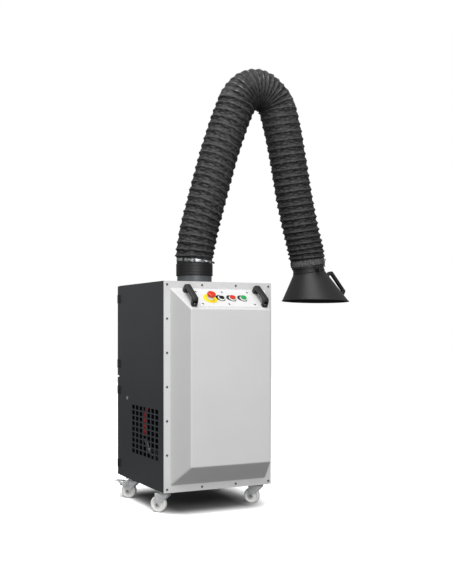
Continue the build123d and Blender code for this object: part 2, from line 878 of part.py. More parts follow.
def cable_gland():
    """A gland with a hexagon outside the panel, a domed nut and a lock nut inside."""
    face = Plane(origin=(right, gland_y, gland_z), x_dir=(0, 1, 0), z_dir=(1, 0, 0))
    body = slab(RegularPolygon(gland_flat, 6, major_radius=False), face, gland_hex)
    dome = rod(gland_flat, (right + gland_hex, gland_y, gland_z), (right + gland_hex + gland_dome, gland_y,
                                                                   gland_z))
    dome = fillet(dome.edges().sort_by(Axis.X)[-1], gland_flat - gland_bore - sheet)
    thread = rod(gland_thread, (inner_right - gland_nut - sheet, gland_y, gland_z), (right, gland_y, gland_z))
    inside = Plane(origin=(inner_right, gland_y, gland_z), x_dir=(0, 1, 0), z_dir=(-1, 0, 0))
    nut = slab(RegularPolygon(gland_flat, 6, major_radius=False), inside, gland_nut)
    return body + dome + thread + nut - rod(gland_bore, (inner_right - gland_nut - overrun, gland_y, gland_z),
                                            (right + gland_hex + gland_dome + overrun, gland_y, gland_z))


# Castors
def castor_places():
    return [(side * castor_x, y) for y in (castor_front_y, castor_rear_y) for side in (-1, 1)]


def castor_plates():
    found = []
    for x, y in castor_places():
        plate = block((x - castor_plate_x / 2, y - castor_plate_y / 2, plate_low),
                      (x + castor_plate_x / 2, y + castor_plate_y / 2, base))
        race = rod(race_radius, (x, y, fork_top + race_gap), (x, y, plate_low))
        plate = plate + race - rod(kingpin + running, (x, y, fork_top), (x, y, base))
        for dx in (-castor_bolt_x, castor_bolt_x):
            for dy in (-castor_bolt_y, castor_bolt_y):
                bx, by = x + dx, y + dy
                plate -= rod(castor_bolt + bolt_clear, (bx, by, plate_low - overrun),
                             (bx, by, base + overrun))
                nut = Pos(bx, by, plate_low - castor_nut_height) * extrude(
                    RegularPolygon(castor_nut, 6), castor_nut_height)
                found.append(nut + rod(castor_bolt, (bx, by, plate_low),
                                       (bx, by, base + base_sheet + castor_nut_height / 2)))
        found.append(plate)
    return found


def castor_frame(x, y):
    """A frame at the floor under the kingpin, its X along the trail."""
    return Pos(x, y, 0) * Rot(0, 0, trail_turn)


def fork(x, y, braked):
    legs = None
    crown_low = fork_top - fork_crown
    for side in (-1, 1):
        near = side * leg_gap / 2
        foot = Pos(trail, near + side * leg_thick / 2, wheel_radius) * Rot(90, 0, 0) * Cylinder(
            leg_end_radius, leg_thick)
        shape = Polyline((-leg_back, crown_low), (trail + leg_end_radius, crown_low),
                         (trail + leg_end_radius, wheel_radius),
                         (trail - leg_end_radius, wheel_radius), close=True)
        flat = Plane(origin=(0, near + (leg_thick if side > 0 else 0), 0), x_dir=(1, 0, 0), z_dir=(0, -1, 0))
        leg = extrude(flat * make_face(shape), leg_thick) + foot
        if braked:
            lug = Pos(trail + pedal_pivot_out, near + side * leg_thick / 2, pedal_pivot_z) * Rot(
                90, 0, 0) * Cylinder(lug_radius, leg_thick)
            arm = Polyline((trail, crown_low), (trail + pedal_pivot_out, pedal_pivot_z + lug_radius),
                           (trail + pedal_pivot_out, pedal_pivot_z - lug_radius),
                           (trail, pedal_pivot_z - lug_radius * 2), close=True)
            leg = leg + lug + extrude(flat * make_face(arm), leg_thick)
            leg -= Pos(trail + pedal_pivot_out, near, pedal_pivot_z) * Rot(90, 0, 0) * Cylinder(
                pedal_pin + running, leg_thick * 4)
        leg -= Pos(trail, near, wheel_radius) * Rot(90, 0, 0) * Cylinder(
            axle_radius + bolt_clear, leg_thick * 4)
        legs = leg if legs is None else legs + leg
    reach = leg_gap / 2 + leg_thick
    crown = block((-leg_back, -reach, crown_low), (trail + leg_end_radius, reach, fork_top))
    crown += rod(fork_disc, (0, 0, crown_low), (0, 0, fork_top))
    body = legs + crown + rod(kingpin, (0, 0, crown_low), (0, 0, base - castor_plate / 2))
    end = reach + axle_head_height
    axle = rod(axle_radius, (trail, -reach, wheel_radius), (trail, reach, wheel_radius))
    for side in (-1, 1):
        axle += rod(axle_head, (trail, side * reach, wheel_radius), (trail, side * end, wheel_radius))
    place = castor_frame(x, y)
    return place * body, place * axle


def wheel(x, y):
    half, web, hub = wheel_width / 2, wheel_web / 2, wheel_hub / 2
    rim = wheel_radius - wheel_rim
    bore = axle_radius + running
    points = [(bore, -hub), (hub_outer, -hub), (hub_outer, -web), (rim, -web), (rim, -half),
              (wheel_radius - wheel_round, -half), (wheel_radius, -half + wheel_round),
              (wheel_radius, half - wheel_round), (wheel_radius - wheel_round, half), (rim, half), (rim, web),
              (hub_outer, web), (hub_outer, hub), (bore, hub)]
    face = Plane.XZ * make_face(Polyline(*points, close=True))
    body = revolve(face, Axis.Z)
    return castor_frame(x, y) * Pos(trail, 0, wheel_radius) * Rot(90, 0, 0) * body


def pedal(x, y):
    """A brake lever on two ears, hinged behind the wheel."""
    pivot = (trail + pedal_pivot_out, pedal_pivot_z)
    reach = leg_gap / 2 + leg_thick
    ear_in = reach + pedal_gap
    ear_out = ear_in + pedal_ear
    tread_low = pivot[1] + pedal_rise
    tread = block((pivot[0] - lug_radius / 2, -ear_out, tread_low),
                  (pivot[0] + pedal_length, ear_out, tread_low + pedal_thick))
    tread = fillet(tread.edges().filter_by(Axis.Z).group_by(Axis.X)[-1], lug_radius)
    body = tread
    for side in (-1, 1):
        outline = Polyline((pivot[0] - lug_radius / 2, tread_low + pedal_thick),
                           (pivot[0] - lug_radius / 2, pivot[1]), (pivot[0] + lug_radius / 2, pivot[1]),
                           (pivot[0] + pedal_length / 2, tread_low + pedal_thick), close=True)
        start = side * ear_in if side < 0 else side * ear_out
        flat = Plane(origin=(0, start, 0), x_dir=(1, 0, 0), z_dir=(0, -1, 0))
        body += extrude(flat * make_face(outline), pedal_ear)
        body += Pos(pivot[0], side * (ear_in + ear_out) / 2, pivot[1]) * Rot(90, 0, 0) * Cylinder(
            lug_radius, pedal_ear)
    body += Pos(pivot[0], 0, pivot[1]) * Rot(90, 0, 0) * Cylinder(pedal_pin, 2 * ear_out)
    return castor_frame(x, y) * body


# Arm path: points and directions in the plane Y = arm_y, angles from straight up
collar_z = top + spigot_rise + fit_gap
cuff_top = collar_z + cuff_height
bend_z = cuff_top + fit_gap + hose_sleeve
y_out = Vector(0, 1, 0)


def heading(angle):
    """The direction at an angle from straight up, leaning towards +X."""
    return Vector(sin(radians(angle)), 0, cos(radians(angle)))


def arc_point(start, angle, radius, turn):
    """Where an arc ends that starts at a heading and turns towards +X (or back, if negative)."""
    way = 1 if turn > 0 else -1
    side = heading(angle + 90 * way)
    centre = start + side * radius
    return centre - heading(angle + turn + 90 * way) * radius


shoulder_start = Vector(arm_x, arm_y, bend_z)
shoulder_end = arc_point(shoulder_start, 0, base_bend, lean)
elbow_start = shoulder_end + heading(lean) * lower_run
elbow_end = arc_point(elbow_start, lean, elbow_bend, elbow_turn)
down_angle = lean + elbow_turn
wrist_start = elbow_end + heading(down_angle) * upper_run
wrist_end = arc_point(wrist_start, down_angle, wrist_bend, wrist_turn)
neck_angle = down_angle + wrist_turn
neck_way = heading(neck_angle)
hose_end = wrist_end + neck_way * wrist_run

shoulder_pivot = shoulder_start + Vector(0, 0, base_bend * tan(radians(lean / 2)))
elbow_centre = elbow_start + heading(lean + 90) * elbow_bend
elbow_pivot = elbow_centre + heading(lean + elbow_turn / 2 - 90) * elbow_pivot_rise
wrist_pivot = wrist_start + heading(down_angle) * wrist_bend * tan(radians(wrist_turn / 2))


def section(point, angle):
    """A plane square to the hose, its X always along Y."""
    return Plane(origin=point, x_dir=(0, 1, 0), z_dir=heading(angle))


def rib_sections(place, length, count, crest):
    """Four circles for each rib along a stretch; place gives a point and an angle at a distance."""
    pitch = length / count
    full = crest - hose_valley
    profile = ((0.0, 0.0), (0.5 - rib_spread_share, rib_shoulder_share), (0.5, 1.0),
               (0.5 + rib_spread_share, rib_shoulder_share))
    circles = []
    for i in range(count):
        for along, rise in profile:
            circles.append(section(*place((i + along) * pitch)) * Circle(hose_valley + rise * full))
    circles.append(section(*place(length)) * Circle(hose_valley))
    return circles


def straight(start, angle):
    return lambda s: (start + heading(angle) * s, angle)


def bend(start, angle, radius, way):
    return lambda s: (arc_point(start, angle, radius, way * degrees(s / radius)) if s else start,
                      angle + way * degrees(s / radius))


def bent_rod(radius, start, angle, bend_radius, turn):
    """A round bar that follows an arc of the hose's path."""
    way = 1 if turn > 0 else -1
    centre = start + heading(angle + 90 * way) * bend_radius
    disc = section(start, angle) * Circle(radius)
    return revolve(disc, Axis(centre, y_out * way), abs(turn))


def hose_lower():
    ribs = loft(rib_sections(straight(shoulder_end, lean), lower_run, lower_ribs, hose_crest), ruled=True)
    way = heading(lean) * overrun
    return ribs - rod(hose_bore, shoulder_end - way, elbow_start + way)


def hose_elbow():
    length = elbow_bend * radians(elbow_turn)
    place = bend(elbow_start, lean, elbow_bend, 1)
    ribs = loft(rib_sections(place, length, elbow_ribs, hose_crest), ruled=True)
    return ribs - bent_rod(hose_bore, elbow_start, lean, elbow_bend, elbow_turn)


def hose_upper():
    main_run = upper_run - tight_run
    circles = rib_sections(straight(elbow_end, down_angle), main_run, upper_ribs, hose_crest)
    middle = elbow_end + heading(down_angle) * main_run
    circles = circles[:-1] + rib_sections(straight(middle, down_angle), tight_run, tight_ribs, hose_crest)
    way = heading(down_angle) * overrun
    return loft(circles, ruled=True) - rod(hose_bore, elbow_end - way, wrist_start + way)


def clamp_sleeve(mouth, way):
    """The plain end of the hose that a clamp holds down, from its mouth to a lip at its ribs."""
    inner = spigot_radius + hose_grip
    end = mouth + way * hose_sleeve
    lip = tube(hose_valley, inner, end - way * hose_lip, end)
    return tube(inner + hose_skin, inner, mouth, end) + lip


base_sleeve_start = Vector(arm_x, arm_y, cuff_top + fit_gap)
base_sleeve_end = base_sleeve_start + Vector(0, 0, hose_sleeve)
wrist_sleeve_start = hose_end - neck_way * hose_sleeve


def hose_shoulder():
    place = bend(shoulder_start, 0, base_bend, 1)
    circles = rib_sections(place, base_bend * radians(lean), base_ribs, hose_crest)
    body = loft(circles, ruled=True) - bent_rod(hose_bore, shoulder_start, 0, base_bend, lean)
    return body + clamp_sleeve(base_sleeve_start, Vector(0, 0, 1))


def hose_wrist():
    bent = wrist_bend * radians(wrist_turn)
    run = wrist_run - hose_sleeve
    first = bend(wrist_start, down_angle, wrist_bend, 1)
    second = straight(wrist_end, neck_angle)
    place = (lambda s: first(s) if s < bent else second(s - bent))
    circles = rib_sections(place, bent + run, wrist_ribs, hose_crest)
    body = loft(circles, ruled=True)
    body -= bent_rod(hose_bore, wrist_start, down_angle, wrist_bend, wrist_turn)
    body -= rod(hose_bore, wrist_end, wrist_sleeve_start + neck_way * hose_lip)
    return body + clamp_sleeve(hose_end, neck_way * -1)


def hose_clamp(middle, way):
    """A worm-drive band with its screw housing."""
    way = way.normalized()
    inner = spigot_radius + hose_grip + hose_skin
    half = way * (clamp_height / 2)
    band = tube(inner + clamp_thick, inner, middle - half, middle + half)
    side = way.cross(y_out).normalized()
    out = (side - y_out).normalized()
    along = way.cross(out).normalized()
    seat = middle + out * (inner + clamp_screw_radius)
    reach = along * clamp_screw_length / 2
    housing = rod(clamp_screw_radius, seat - reach, seat + reach)
    housing -= rod(inner + clamp_thick / 2, middle - half * 2, middle + half * 2)
    return band + housing


# Arm mechanism
def yoke(centre, way, seat_distance, ring_inner):
    """Two legs along the inside of a ring, holding a pin across the arm's plane."""
    way = way.normalized()
    legs = []
    for side in (-1, 1):
        plane = Plane(origin=centre + y_out * side * (arm_leg_out - arm_leg_thick / 2),
                      x_dir=y_out.cross(way), z_dir=way)
        leg = extrude(plane * Rectangle(leg_width, arm_leg_thick), seat_distance)
        round_end = plane * Rot(90, 0, 0) * Cylinder(leg_width / 2, arm_leg_thick)
        foot_length = ring_inner + collar_wall / 2 - arm_leg_out + arm_leg_thick / 2
        foot_plane = Plane(origin=centre + way * (seat_distance - arm_foot / 4)
                           + y_out * side * (arm_leg_out - arm_leg_thick / 2 + foot_length / 2),
                           x_dir=y_out.cross(way), z_dir=way)
        foot = foot_plane * Box(leg_width, foot_length, arm_foot / 2)
        legs.append(leg + round_end + foot)
    reach = y_out * (arm_leg_out + overrun)
    bore = rod(arm_pin + bolt_clear, centre - reach, centre + reach)
    return [leg - bore for leg in legs]


def yoke_pin(centre):
    end = y_out * (arm_leg_out + fit_gap)
    return rod(arm_pin, centre - end, centre + end)


def shoulder_bracket():
    low = Vector(arm_x, arm_y, collar_z)
    tip = base_sleeve_end - Vector(0, 0, hose_lip + fit_gap)
    outer = tube(spigot_radius, spigot_radius - sleeve_wall, low, tip)
    inner_radius = spigot_radius - spigot_wall - running
    sleeve = tube(inner_radius, inner_radius - sleeve_wall, low - Vector(0, 0, sleeve_length),
                  low + Vector(0, 0, overrun))
    ring = outer + sleeve
    seat = shoulder_pivot.Z - collar_z - arm_foot
    legs = yoke(shoulder_pivot, Vector(0, 0, -1), seat, spigot_radius - sleeve_wall)
    for leg in legs:
        ring += leg
    return ring, yoke_pin(shoulder_pivot)


def cross_barrel(centre):
    """The arm's cross tube, turning on the yoke's pin."""
    half = y_out * (arm_leg_out - arm_leg_thick - barrel_gap)
    return rod(barrel_outer, centre - half, centre + half)


def barrel_bore(centre):
    reach = y_out * arm_leg_out
    return rod(arm_pin + running, centre - reach, centre + reach)


def elbow_plate_shape(points, y0, y1):
    """A flat plate in the arm's plane through round-ended points."""
    plane = Plane(origin=(0, y1, 0), x_dir=(1, 0, 0), z_dir=(0, -1, 0))
    half = elbow_arm_width / 2
    body = None
    for a, b in zip(points, points[1:]):
        run = b - a
        side = Vector(-run.Z, 0, run.X).normalized() * half
        corners = [a + side, b + side, b - side, a - side]
        piece = extrude(plane * make_face(Polyline(*[(c.X, c.Z) for c in corners], close=True)), y1 - y0)
        piece += rod(half, (b.X, y0, b.Z), (b.X, y1, b.Z))
        body = piece if body is None else body + piece
    hub = points[-1]
    return body + rod(elbow_hub, (hub.X, y0, hub.Z), (hub.X, y1, hub.Z))


lower_tube_end = elbow_start - heading(lean) * elbow_arm_back
upper_tube_end = elbow_end + heading(down_angle) * elbow_arm_back


def lower_arm():
    bar = rod(arm_tube, shoulder_pivot, lower_tube_end)
    hollow = rod(arm_tube - arm_tube_wall, shoulder_pivot + heading(lean) * barrel_outer * 2,
                 lower_tube_end - heading(lean) * plate_lap)
    body = bar - hollow + cross_barrel(shoulder_pivot) - barrel_bore(shoulder_pivot)
    lap = lower_tube_end - heading(lean) * plate_lap
    near = elbow_plate / 2 + elbow_plate_gap
    for side in (-1, 1):
        y0, y1 = sorted((arm_y + side * near, arm_y + side * (near + elbow_plate)))
        plate = elbow_plate_shape([lap, lower_tube_end, elbow_pivot], y0, y1)
        reach = y_out * arm_leg_out
        body += plate - rod(arm_pin + bolt_clear, elbow_pivot - reach, elbow_pivot + reach)
    outer = near + elbow_plate
    pin = rod(arm_pin, elbow_pivot - y_out * outer, elbow_pivot + y_out * outer)
    for side in (-1, 1):
        pin += rod(elbow_nut, elbow_pivot + y_out * side * outer,
                   elbow_pivot + y_out * side * (outer + elbow_nut_height))
    return body, pin


def upper_arm():
    way = heading(down_angle)
    bar = rod(arm_tube, upper_tube_end, wrist_pivot)
    hollow = rod(arm_tube - arm_tube_wall, upper_tube_end + way * plate_lap,
                 wrist_pivot - way * barrel_outer * 2)
    body = bar - hollow + cross_barrel(wrist_pivot) - barrel_bore(wrist_pivot)
    lap = upper_tube_end + way * plate_lap
    half = elbow_plate / 2
    plate = elbow_plate_shape([lap, upper_tube_end, elbow_pivot], arm_y - half, arm_y + half)
    plate -= rod(arm_pin + running, elbow_pivot - y_out * arm_leg_out, elbow_pivot + y_out * arm_leg_out)
    return body + plate


# Hood
collar_start = wrist_sleeve_start + neck_way * (hose_lip + fit_gap)
neck_start = hose_end + neck_way * neck_start_gap
neck_end = neck_start + neck_way * neck_length
neck_inner = spigot_radius + running
neck_outer = neck_inner + neck_wall
throat_inner = throat_radius - neck_wall
throat_start = hose_end + neck_way * (collar_lap + throat_step)
damper_axis = neck_start + neck_way * damper_reach
rim_centre = neck_end + Vector(hood_shift, 0, -hood_drop)
rim_angle = 180 + hood_rim_tilt


def hood_collar():
    ring = tube(spigot_radius, spigot_radius - collar_wall, collar_start, hose_end + neck_way * collar_lap)
    seat = (collar_start - wrist_pivot).length + arm_foot / 2
    for leg in yoke(wrist_pivot, neck_way, seat, spigot_radius - collar_wall):
        ring += leg
    return ring, yoke_pin(wrist_pivot)


def cone(inset_top, inset_rim):
    high = section(neck_end, neck_angle) * Circle(throat_radius - inset_top)
    rim = section(rim_centre, rim_angle) * Circle(hood_rim_radius - inset_rim)
    return loft([high, rim])


def hood_shell():
    """A socket over the collar, a narrower throat below it and a slanting cone down to the rim."""
    shell = cone(0.0, 0.0) - cone(neck_wall, hood_wall)
    shell += tube(neck_outer, neck_inner, neck_start, throat_start)
    shell += tube(neck_outer, throat_inner, throat_start - neck_way * neck_wall, throat_start)
    shell += tube(throat_radius, throat_inner, throat_start - neck_way * neck_wall, neck_end)
    bead = neck_way * seam_bead_height
    shell += tube(throat_radius + seam_bead, throat_inner + neck_wall / 2, neck_end - bead, neck_end)
    hole = rod(spindle_radius + running, damper_axis - y_out * hood_rim_radius, damper_axis)
    far = rod(spindle_radius + running, damper_axis, damper_axis + y_out * (throat_inner + neck_wall / 2))
    return shell - hole - far


def hood_handle():
    high = neck_end + heading(neck_angle - 90) * throat_radius
    rim = rim_centre + heading(rim_angle - 90) * hood_rim_radius
    way = (rim - high).normalized()
    out = Vector(-way.Z, 0, way.X)
    seat = Plane(origin=high + way * hood_grip_start, x_dir=way, z_dir=out)
    body = seat * bridge(hood_grip_length, hood_grip_rise, hood_grip_bar, hood_grip_foot, hood_grip_width,
                         lift_bevel)
    sink = Plane(origin=high + way * hood_grip_start - out * overrun, x_dir=way, z_dir=out)
    for start in (0, hood_grip_length - hood_grip_foot):
        body += sink * block((start, -hood_grip_width / 2, 0), (start + hood_grip_foot, hood_grip_width / 2,
                                                                 overrun))
    return body - cone(0.0, 0.0)


def damper():
    """A round flap on a spindle along Y, drawn open, with a wing knob on its end."""
    edge = neck_way
    half = flap_thick / 2
    across = y_out.cross(edge)
    flap = rod(flap_radius, damper_axis - across * half, damper_axis + across * half)
    near = damper_axis - y_out * (throat_radius + knob_boss_height)
    spindle = rod(spindle_radius, near, damper_axis + y_out * throat_inner)
    start = damper_axis - y_out * (throat_radius + fit_gap)
    boss = rod(knob_boss, start, start - y_out * knob_boss_height)
    knob_seat = start - y_out * knob_boss_height
    knob = rod(knob_radius, knob_seat, knob_seat - y_out * knob_height / 2)
    wing = Plane(origin=knob_seat, x_dir=edge, z_dir=y_out * -1) * Box(
        wing_length, wing_width, knob_height, align=(Align.CENTER, Align.CENTER, Align.MIN))
    return flap + spindle + boss + knob + wing


def hose_spigot():
    low = Vector(arm_x, arm_y, top - spigot_inside)
    high = Vector(arm_x, arm_y, top + spigot_rise)
    foot = Vector(arm_x, arm_y, top)
    ring = tube(spigot_radius, spigot_radius - spigot_wall, low, high)
    ring += tube(spigot_flange, spigot_radius - spigot_wall / 2, foot,
                 foot + Vector(0, 0, spigot_flange_thick))
    bolts = []
    seat_z = top + spigot_flange_thick
    for x, y in bolt_ring(spigot_bolt_ring, spigot_bolts):
        ring -= rod(screw_radius + bolt_clear, (x, y, top - overrun), (x, y, seat_z + overrun))
        bolts.append(screw(screw_head_radius, screw_radius, (x, y, seat_z), (0, 0, -1), screw_length))
    return [ring] + bolts


def swivel_cuff():
    low = Vector(arm_x, arm_y, collar_z)
    return tube(spigot_radius + cuff_wall, spigot_radius + fit_gap / 10, low, Vector(arm_x, arm_y, cuff_top))


if __name__ == "__main__":
    write("front_pan", front_pan())
    write("control_plate", control_plate())
    write("panel_screws", *panel_screws())
    write("lift_handles", *[lift_handle(side) for side in (-1, 1)])
    write("control_bezels", *control_bezels())
    write("contact_blocks", *contact_blocks())
    write("estop_ring", estop_ring())
    write("estop_button", estop_button())
    write("selector_knob", selector_knob())
    write("stop_button", push_button(stop_x))
    write("start_button", push_button(start_x))
    write("left_side_panel", left_side_panel())
    write("right_side_panel", right_side_panel())
    write("side_plug", side_plug())
    write("base_pan", base_pan())
    write("top_panel", top_panel())
    write("rear_frame", rear_frame())
    write("door_seals", *door_seals())
    lower_span, upper_span = door_spans()
    for word, span in (("lower", lower_span), ("upper", upper_span)):
        write(f"{word}_door", door(span))
        write(f"{word}_latch", latch(span))
        write(f"{word}_door_hinges", *[hinge_half(z, True) for z in hinge_heights(span)])
    write("hinge_leaves", *hinge_leaves())
    write("fan_deck", fan_deck())
    write("main_filter", *filter_box(fan_top + deck_thick, filter_height, pleat_count))
    write("spark_filter", *filter_box(spark_z, spark_height, spark_count))
    write("fan_housing", fan_housing())
    write("impeller", impeller())
    write("fan_motor", fan_motor())
    write("contactor_box", contactor_box())
    write("cable_gland", cable_gland())
    write("castor_plates", *castor_plates())
    names = ("front_left", "front_right", "rear_left", "rear_right")
    for word, (x, y) in zip(names, castor_places()):
        braked = y == castor_rear_y
        write(f"{word}_fork", *fork(x, y, braked))
        write(f"{word}_wheel", wheel(x, y))
        if braked:
            write(f"{word}_pedal", pedal(x, y))
    write("hose_spigot", *hose_spigot())
    write("swivel_cuff", swivel_cuff())
    write("shoulder_bracket", *shoulder_bracket())
    write("base_clamp", hose_clamp((base_sleeve_start + base_sleeve_end) / 2, Vector(0, 0, 1)))
    write("hose_shoulder", hose_shoulder())
    write("lower_arm", *lower_arm())
    write("hose_lower", hose_lower())
    write("hose_elbow", hose_elbow())
    write("upper_arm", upper_arm())
    write("hose_upper", hose_upper())
    write("hose_wrist", hose_wrist())
    write("hood_collar", *hood_collar())
    write("hood_clamp", hose_clamp((wrist_sleeve_start + hose_end) / 2, neck_way))
    write("hood_shell", hood_shell())
    write("hood_handle", hood_handle())
    write("damper", damper())
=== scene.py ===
# %% [markdown]
# # A mobile welding fume extractor
#
# The machine is a painted steel case on four castors. A jointed suction arm
# stands on it, hidden inside a ribbed fabric hose, and ends in a cone hood.
# Its measured solids come ready packed as a fixed frame. This lesson gives
# them finishes, and replaces each soft or rounded piece with a finer surface.

# %% Load the measured solids
import math
import bpy
import bmesh
import numpy as np
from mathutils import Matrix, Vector


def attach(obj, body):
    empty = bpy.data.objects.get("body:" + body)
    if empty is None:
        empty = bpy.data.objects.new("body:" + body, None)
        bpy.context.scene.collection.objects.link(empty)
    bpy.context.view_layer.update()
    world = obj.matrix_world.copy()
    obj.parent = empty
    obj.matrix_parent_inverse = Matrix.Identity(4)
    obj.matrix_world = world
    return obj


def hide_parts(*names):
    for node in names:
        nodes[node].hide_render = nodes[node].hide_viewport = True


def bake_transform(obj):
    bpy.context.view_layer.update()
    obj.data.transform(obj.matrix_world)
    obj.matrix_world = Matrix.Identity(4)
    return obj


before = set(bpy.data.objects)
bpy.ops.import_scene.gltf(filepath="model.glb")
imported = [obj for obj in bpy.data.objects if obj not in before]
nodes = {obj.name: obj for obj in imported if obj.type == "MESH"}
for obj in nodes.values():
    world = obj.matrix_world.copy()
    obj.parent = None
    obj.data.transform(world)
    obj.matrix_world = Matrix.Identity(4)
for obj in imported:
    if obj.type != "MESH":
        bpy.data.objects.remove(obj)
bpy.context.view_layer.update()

# %% [markdown]
# ## Points, grids and meshes
#
# Every new piece here is a grid of points. Its rows are rings, and each ring
# closes on itself, so a grid is a skin round a piece. A mesh could be put
# together face by face, but whole arrays are shorter to write and as exact.
# All shapes are worked out in millimetres and turned into metres once.

# %% Vectors in the plane of the arm
ARM_Y = -30.0
ACROSS = np.array([0.0, 1.0, 0.0])


def unit(v):
    """A vector divided by its own length."""
    v = np.asarray(v, float)
    return v / np.linalg.norm(v, axis=-1, keepdims=True)


def heading(angle):
    """The direction at an angle in degrees from straight up, leaning towards +X."""
    turn = np.radians(angle)
    return np.stack([np.sin(turn), np.zeros_like(turn), np.cos(turn)], -1)


def frame_about(axis):
    """Two directions square to an axis and to each other, the second as near to Y as can be."""
    axis = unit(axis)
    second = ACROSS if abs(axis[1]) < 0.9 else np.array([0.0, 0.0, 1.0])
    first = unit(np.cross(second, axis))
    return first, np.cross(axis, first)


print("up:", heading(0.0), "and leaning by 90 degrees:", heading(90.0).round(3))


# %% From grids to one object
def quads(rows, columns, loop):
    """The corners of every face of a grid whose columns close, and whose rows close if loop is set."""
    i = np.arange(rows if loop else rows - 1)[:, None] * columns
    k = (i + columns) % (rows * columns)
    j = np.arange(columns)[None, :]
    n = (j + 1) % columns
    return np.stack([i + j, i + n, k + n, k + j], -1).reshape(-1, 4)


def new_mesh(name, points, faces, numbers):
    """A mesh from arrays: points in millimetres, faces of four corners, a material number a face."""
    mesh = bpy.data.meshes.new(name)
    mesh.vertices.add(len(points))
    mesh.vertices.foreach_set("co", (points * 0.001).astype(np.float32).ravel())
    mesh.loops.add(len(faces) * 4)
    mesh.loops.foreach_set("vertex_index", faces.astype(np.int32).ravel())
    mesh.polygons.add(len(faces))
    mesh.polygons.foreach_set("loop_start", np.arange(0, len(faces) * 4, 4, dtype=np.int32))
    mesh.polygons.foreach_set("material_index", numbers.astype(np.int32))
    mesh.update(calc_edges=True)
    return mesh


def piece(name, body, parts, instead=(), sharp=32.0):
    """One object on a body. A part is (grid, material), or (grid, material, True) if its rows close."""
    points, faces, numbers, used, count = [], [], [], [], 0
    for part in parts:
        grid, finish, loop = (*part, False)[:3]
        grid = np.asarray(grid, float)
        if finish not in used:
            used.append(finish)
        quad = quads(grid.shape[0], grid.shape[1], loop) + count
        points.append(grid.reshape(-1, 3))
        faces.append(quad)
        numbers.append(np.full(len(quad), used.index(finish)))
        count += grid.shape[0] * grid.shape[1]
    mesh = new_mesh(name, np.concatenate(points), np.concatenate(faces), np.concatenate(numbers))
    for finish in used:
        mesh.materials.append(finish)
    shape = bmesh.new()
    shape.from_mesh(mesh)
    bmesh.ops.remove_doubles(shape, verts=shape.verts, dist=1e-6)
    bmesh.ops.recalc_face_normals(shape, faces=shape.faces)
    for face in shape.faces:
        face.smooth = True
    shape.to_mesh(mesh)
    shape.free()
    mesh.set_sharp_from_angle(angle=math.radians(sharp))
    item = bpy.data.objects.new(name, mesh)
    bpy.context.collection.objects.link(item)
    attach(item, body)
    if instead:
        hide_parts(*instead)
    print(name, "faces:", len(mesh.polygons))
    return item


# %% Shapes worked out from two parameters
def eased(profile, radius, steps=4):
    """A line with rounded corners: each is a blend (1-t)^2 p + 2t(1-t) corner + t^2 q of points near it."""
    points = np.asarray(profile, float)
    out = [points[:1]]
    share = np.linspace(0, 1, steps + 1)[:, None]
    for a, b, c in zip(points, points[1:], points[2:]):
        back, on = a - b, c - b
        reach_back, reach_on = np.linalg.norm(back), np.linalg.norm(on)
        r = min(radius, reach_back * 0.49, reach_on * 0.49)
        p, q = b + back / reach_back * r, b + on / reach_on * r
        out.append((1 - share) ** 2 * p + 2 * share * (1 - share) * b + share ** 2 * q)
    out.append(points[-1:])
    return np.concatenate(out)


def turned(profile, origin, axis, steps):
    """A profile turned about an axis: origin + axis * height + radius round the ring."""
    profile = np.asarray(profile, float)
    axis = unit(axis)
    first, second = frame_about(axis)
    turn = np.linspace(0, 2 * np.pi, steps, endpoint=False)
    ring = np.cos(turn)[:, None] * first + np.sin(turn)[:, None] * second
    return np.asarray(origin, float) + profile[:, 1, None, None] * axis + profile[:, 0, None, None] * ring


def rounded_box_outline(width, height, radius, steps=6):
    """A rectangle with round corners: a quarter circle about each corner's centre."""
    turn = np.linspace(0, np.pi / 2, steps)
    corners = []
    for k, (sx, sy) in enumerate(((1, 1), (-1, 1), (-1, -1), (1, -1))):
        angle = turn + k * np.pi / 2
        centre = np.array([sx * (width / 2 - radius), sy * (height / 2 - radius)])
        corners.append(centre + radius * np.stack([np.cos(angle), np.sin(angle)], -1))
    return np.concatenate(corners)


def drawn_in(outline, distance):
    """An outline moved inwards: each point goes along the mean of its two sides' normals."""
    side = unit(np.roll(outline, -1, 0) - outline)
    before = np.roll(side, 1, 0)
    normal = np.stack([-side[:, 1], side[:, 0]], -1) + np.stack([-before[:, 1], before[:, 0]], -1)
    return outline + unit(normal) * distance


def slab(outline, origin, across, up, low, high, edge, steps=3):
    """A flat plate: its outline stacked between two heights, with rounded edges and closed faces."""
    outline = np.asarray(outline, float)
    x, y = outline[:, 0], outline[:, 1]
    if np.sum(x * np.roll(y, -1) - y * np.roll(x, -1)) < 0:
        outline = outline[::-1]
    across, up = unit(across), unit(up)
    out = np.cross(across, up)
    bend = np.linspace(0, np.pi / 2, steps + 1)
    rows = [(edge * (1 - np.sin(b)), low + edge * (1 - np.cos(b))) for b in bend]
    rows += [(edge * (1 - np.cos(b)), high - edge * (1 - np.sin(b))) for b in bend]
    rings = [drawn_in(outline, inset) if inset > 0 else outline for inset, _ in rows]
    middle = np.repeat(outline.mean(0)[None], len(outline), 0)
    rings = [middle] + rings + [middle]
    heights = [low] + [h for _, h in rows] + [high]
    grid = [np.asarray(origin, float) + ring[:, :1] * across + ring[:, 1:] * up + h * out
            for ring, h in zip(rings, heights)]
    return np.stack(grid)


def squircle(wide, high, power, steps):
    """A section between an ellipse and a rectangle: |x/w|^n + |y/h|^n = 1."""
    turn = np.linspace(0, 2 * np.pi, steps, endpoint=False)
    c, s = np.cos(turn), np.sin(turn)
    return np.stack([wide / 2 * np.sign(c) * np.abs(c) ** (2 / power),
                     high / 2 * np.sign(s) * np.abs(s) ** (2 / power)], -1)


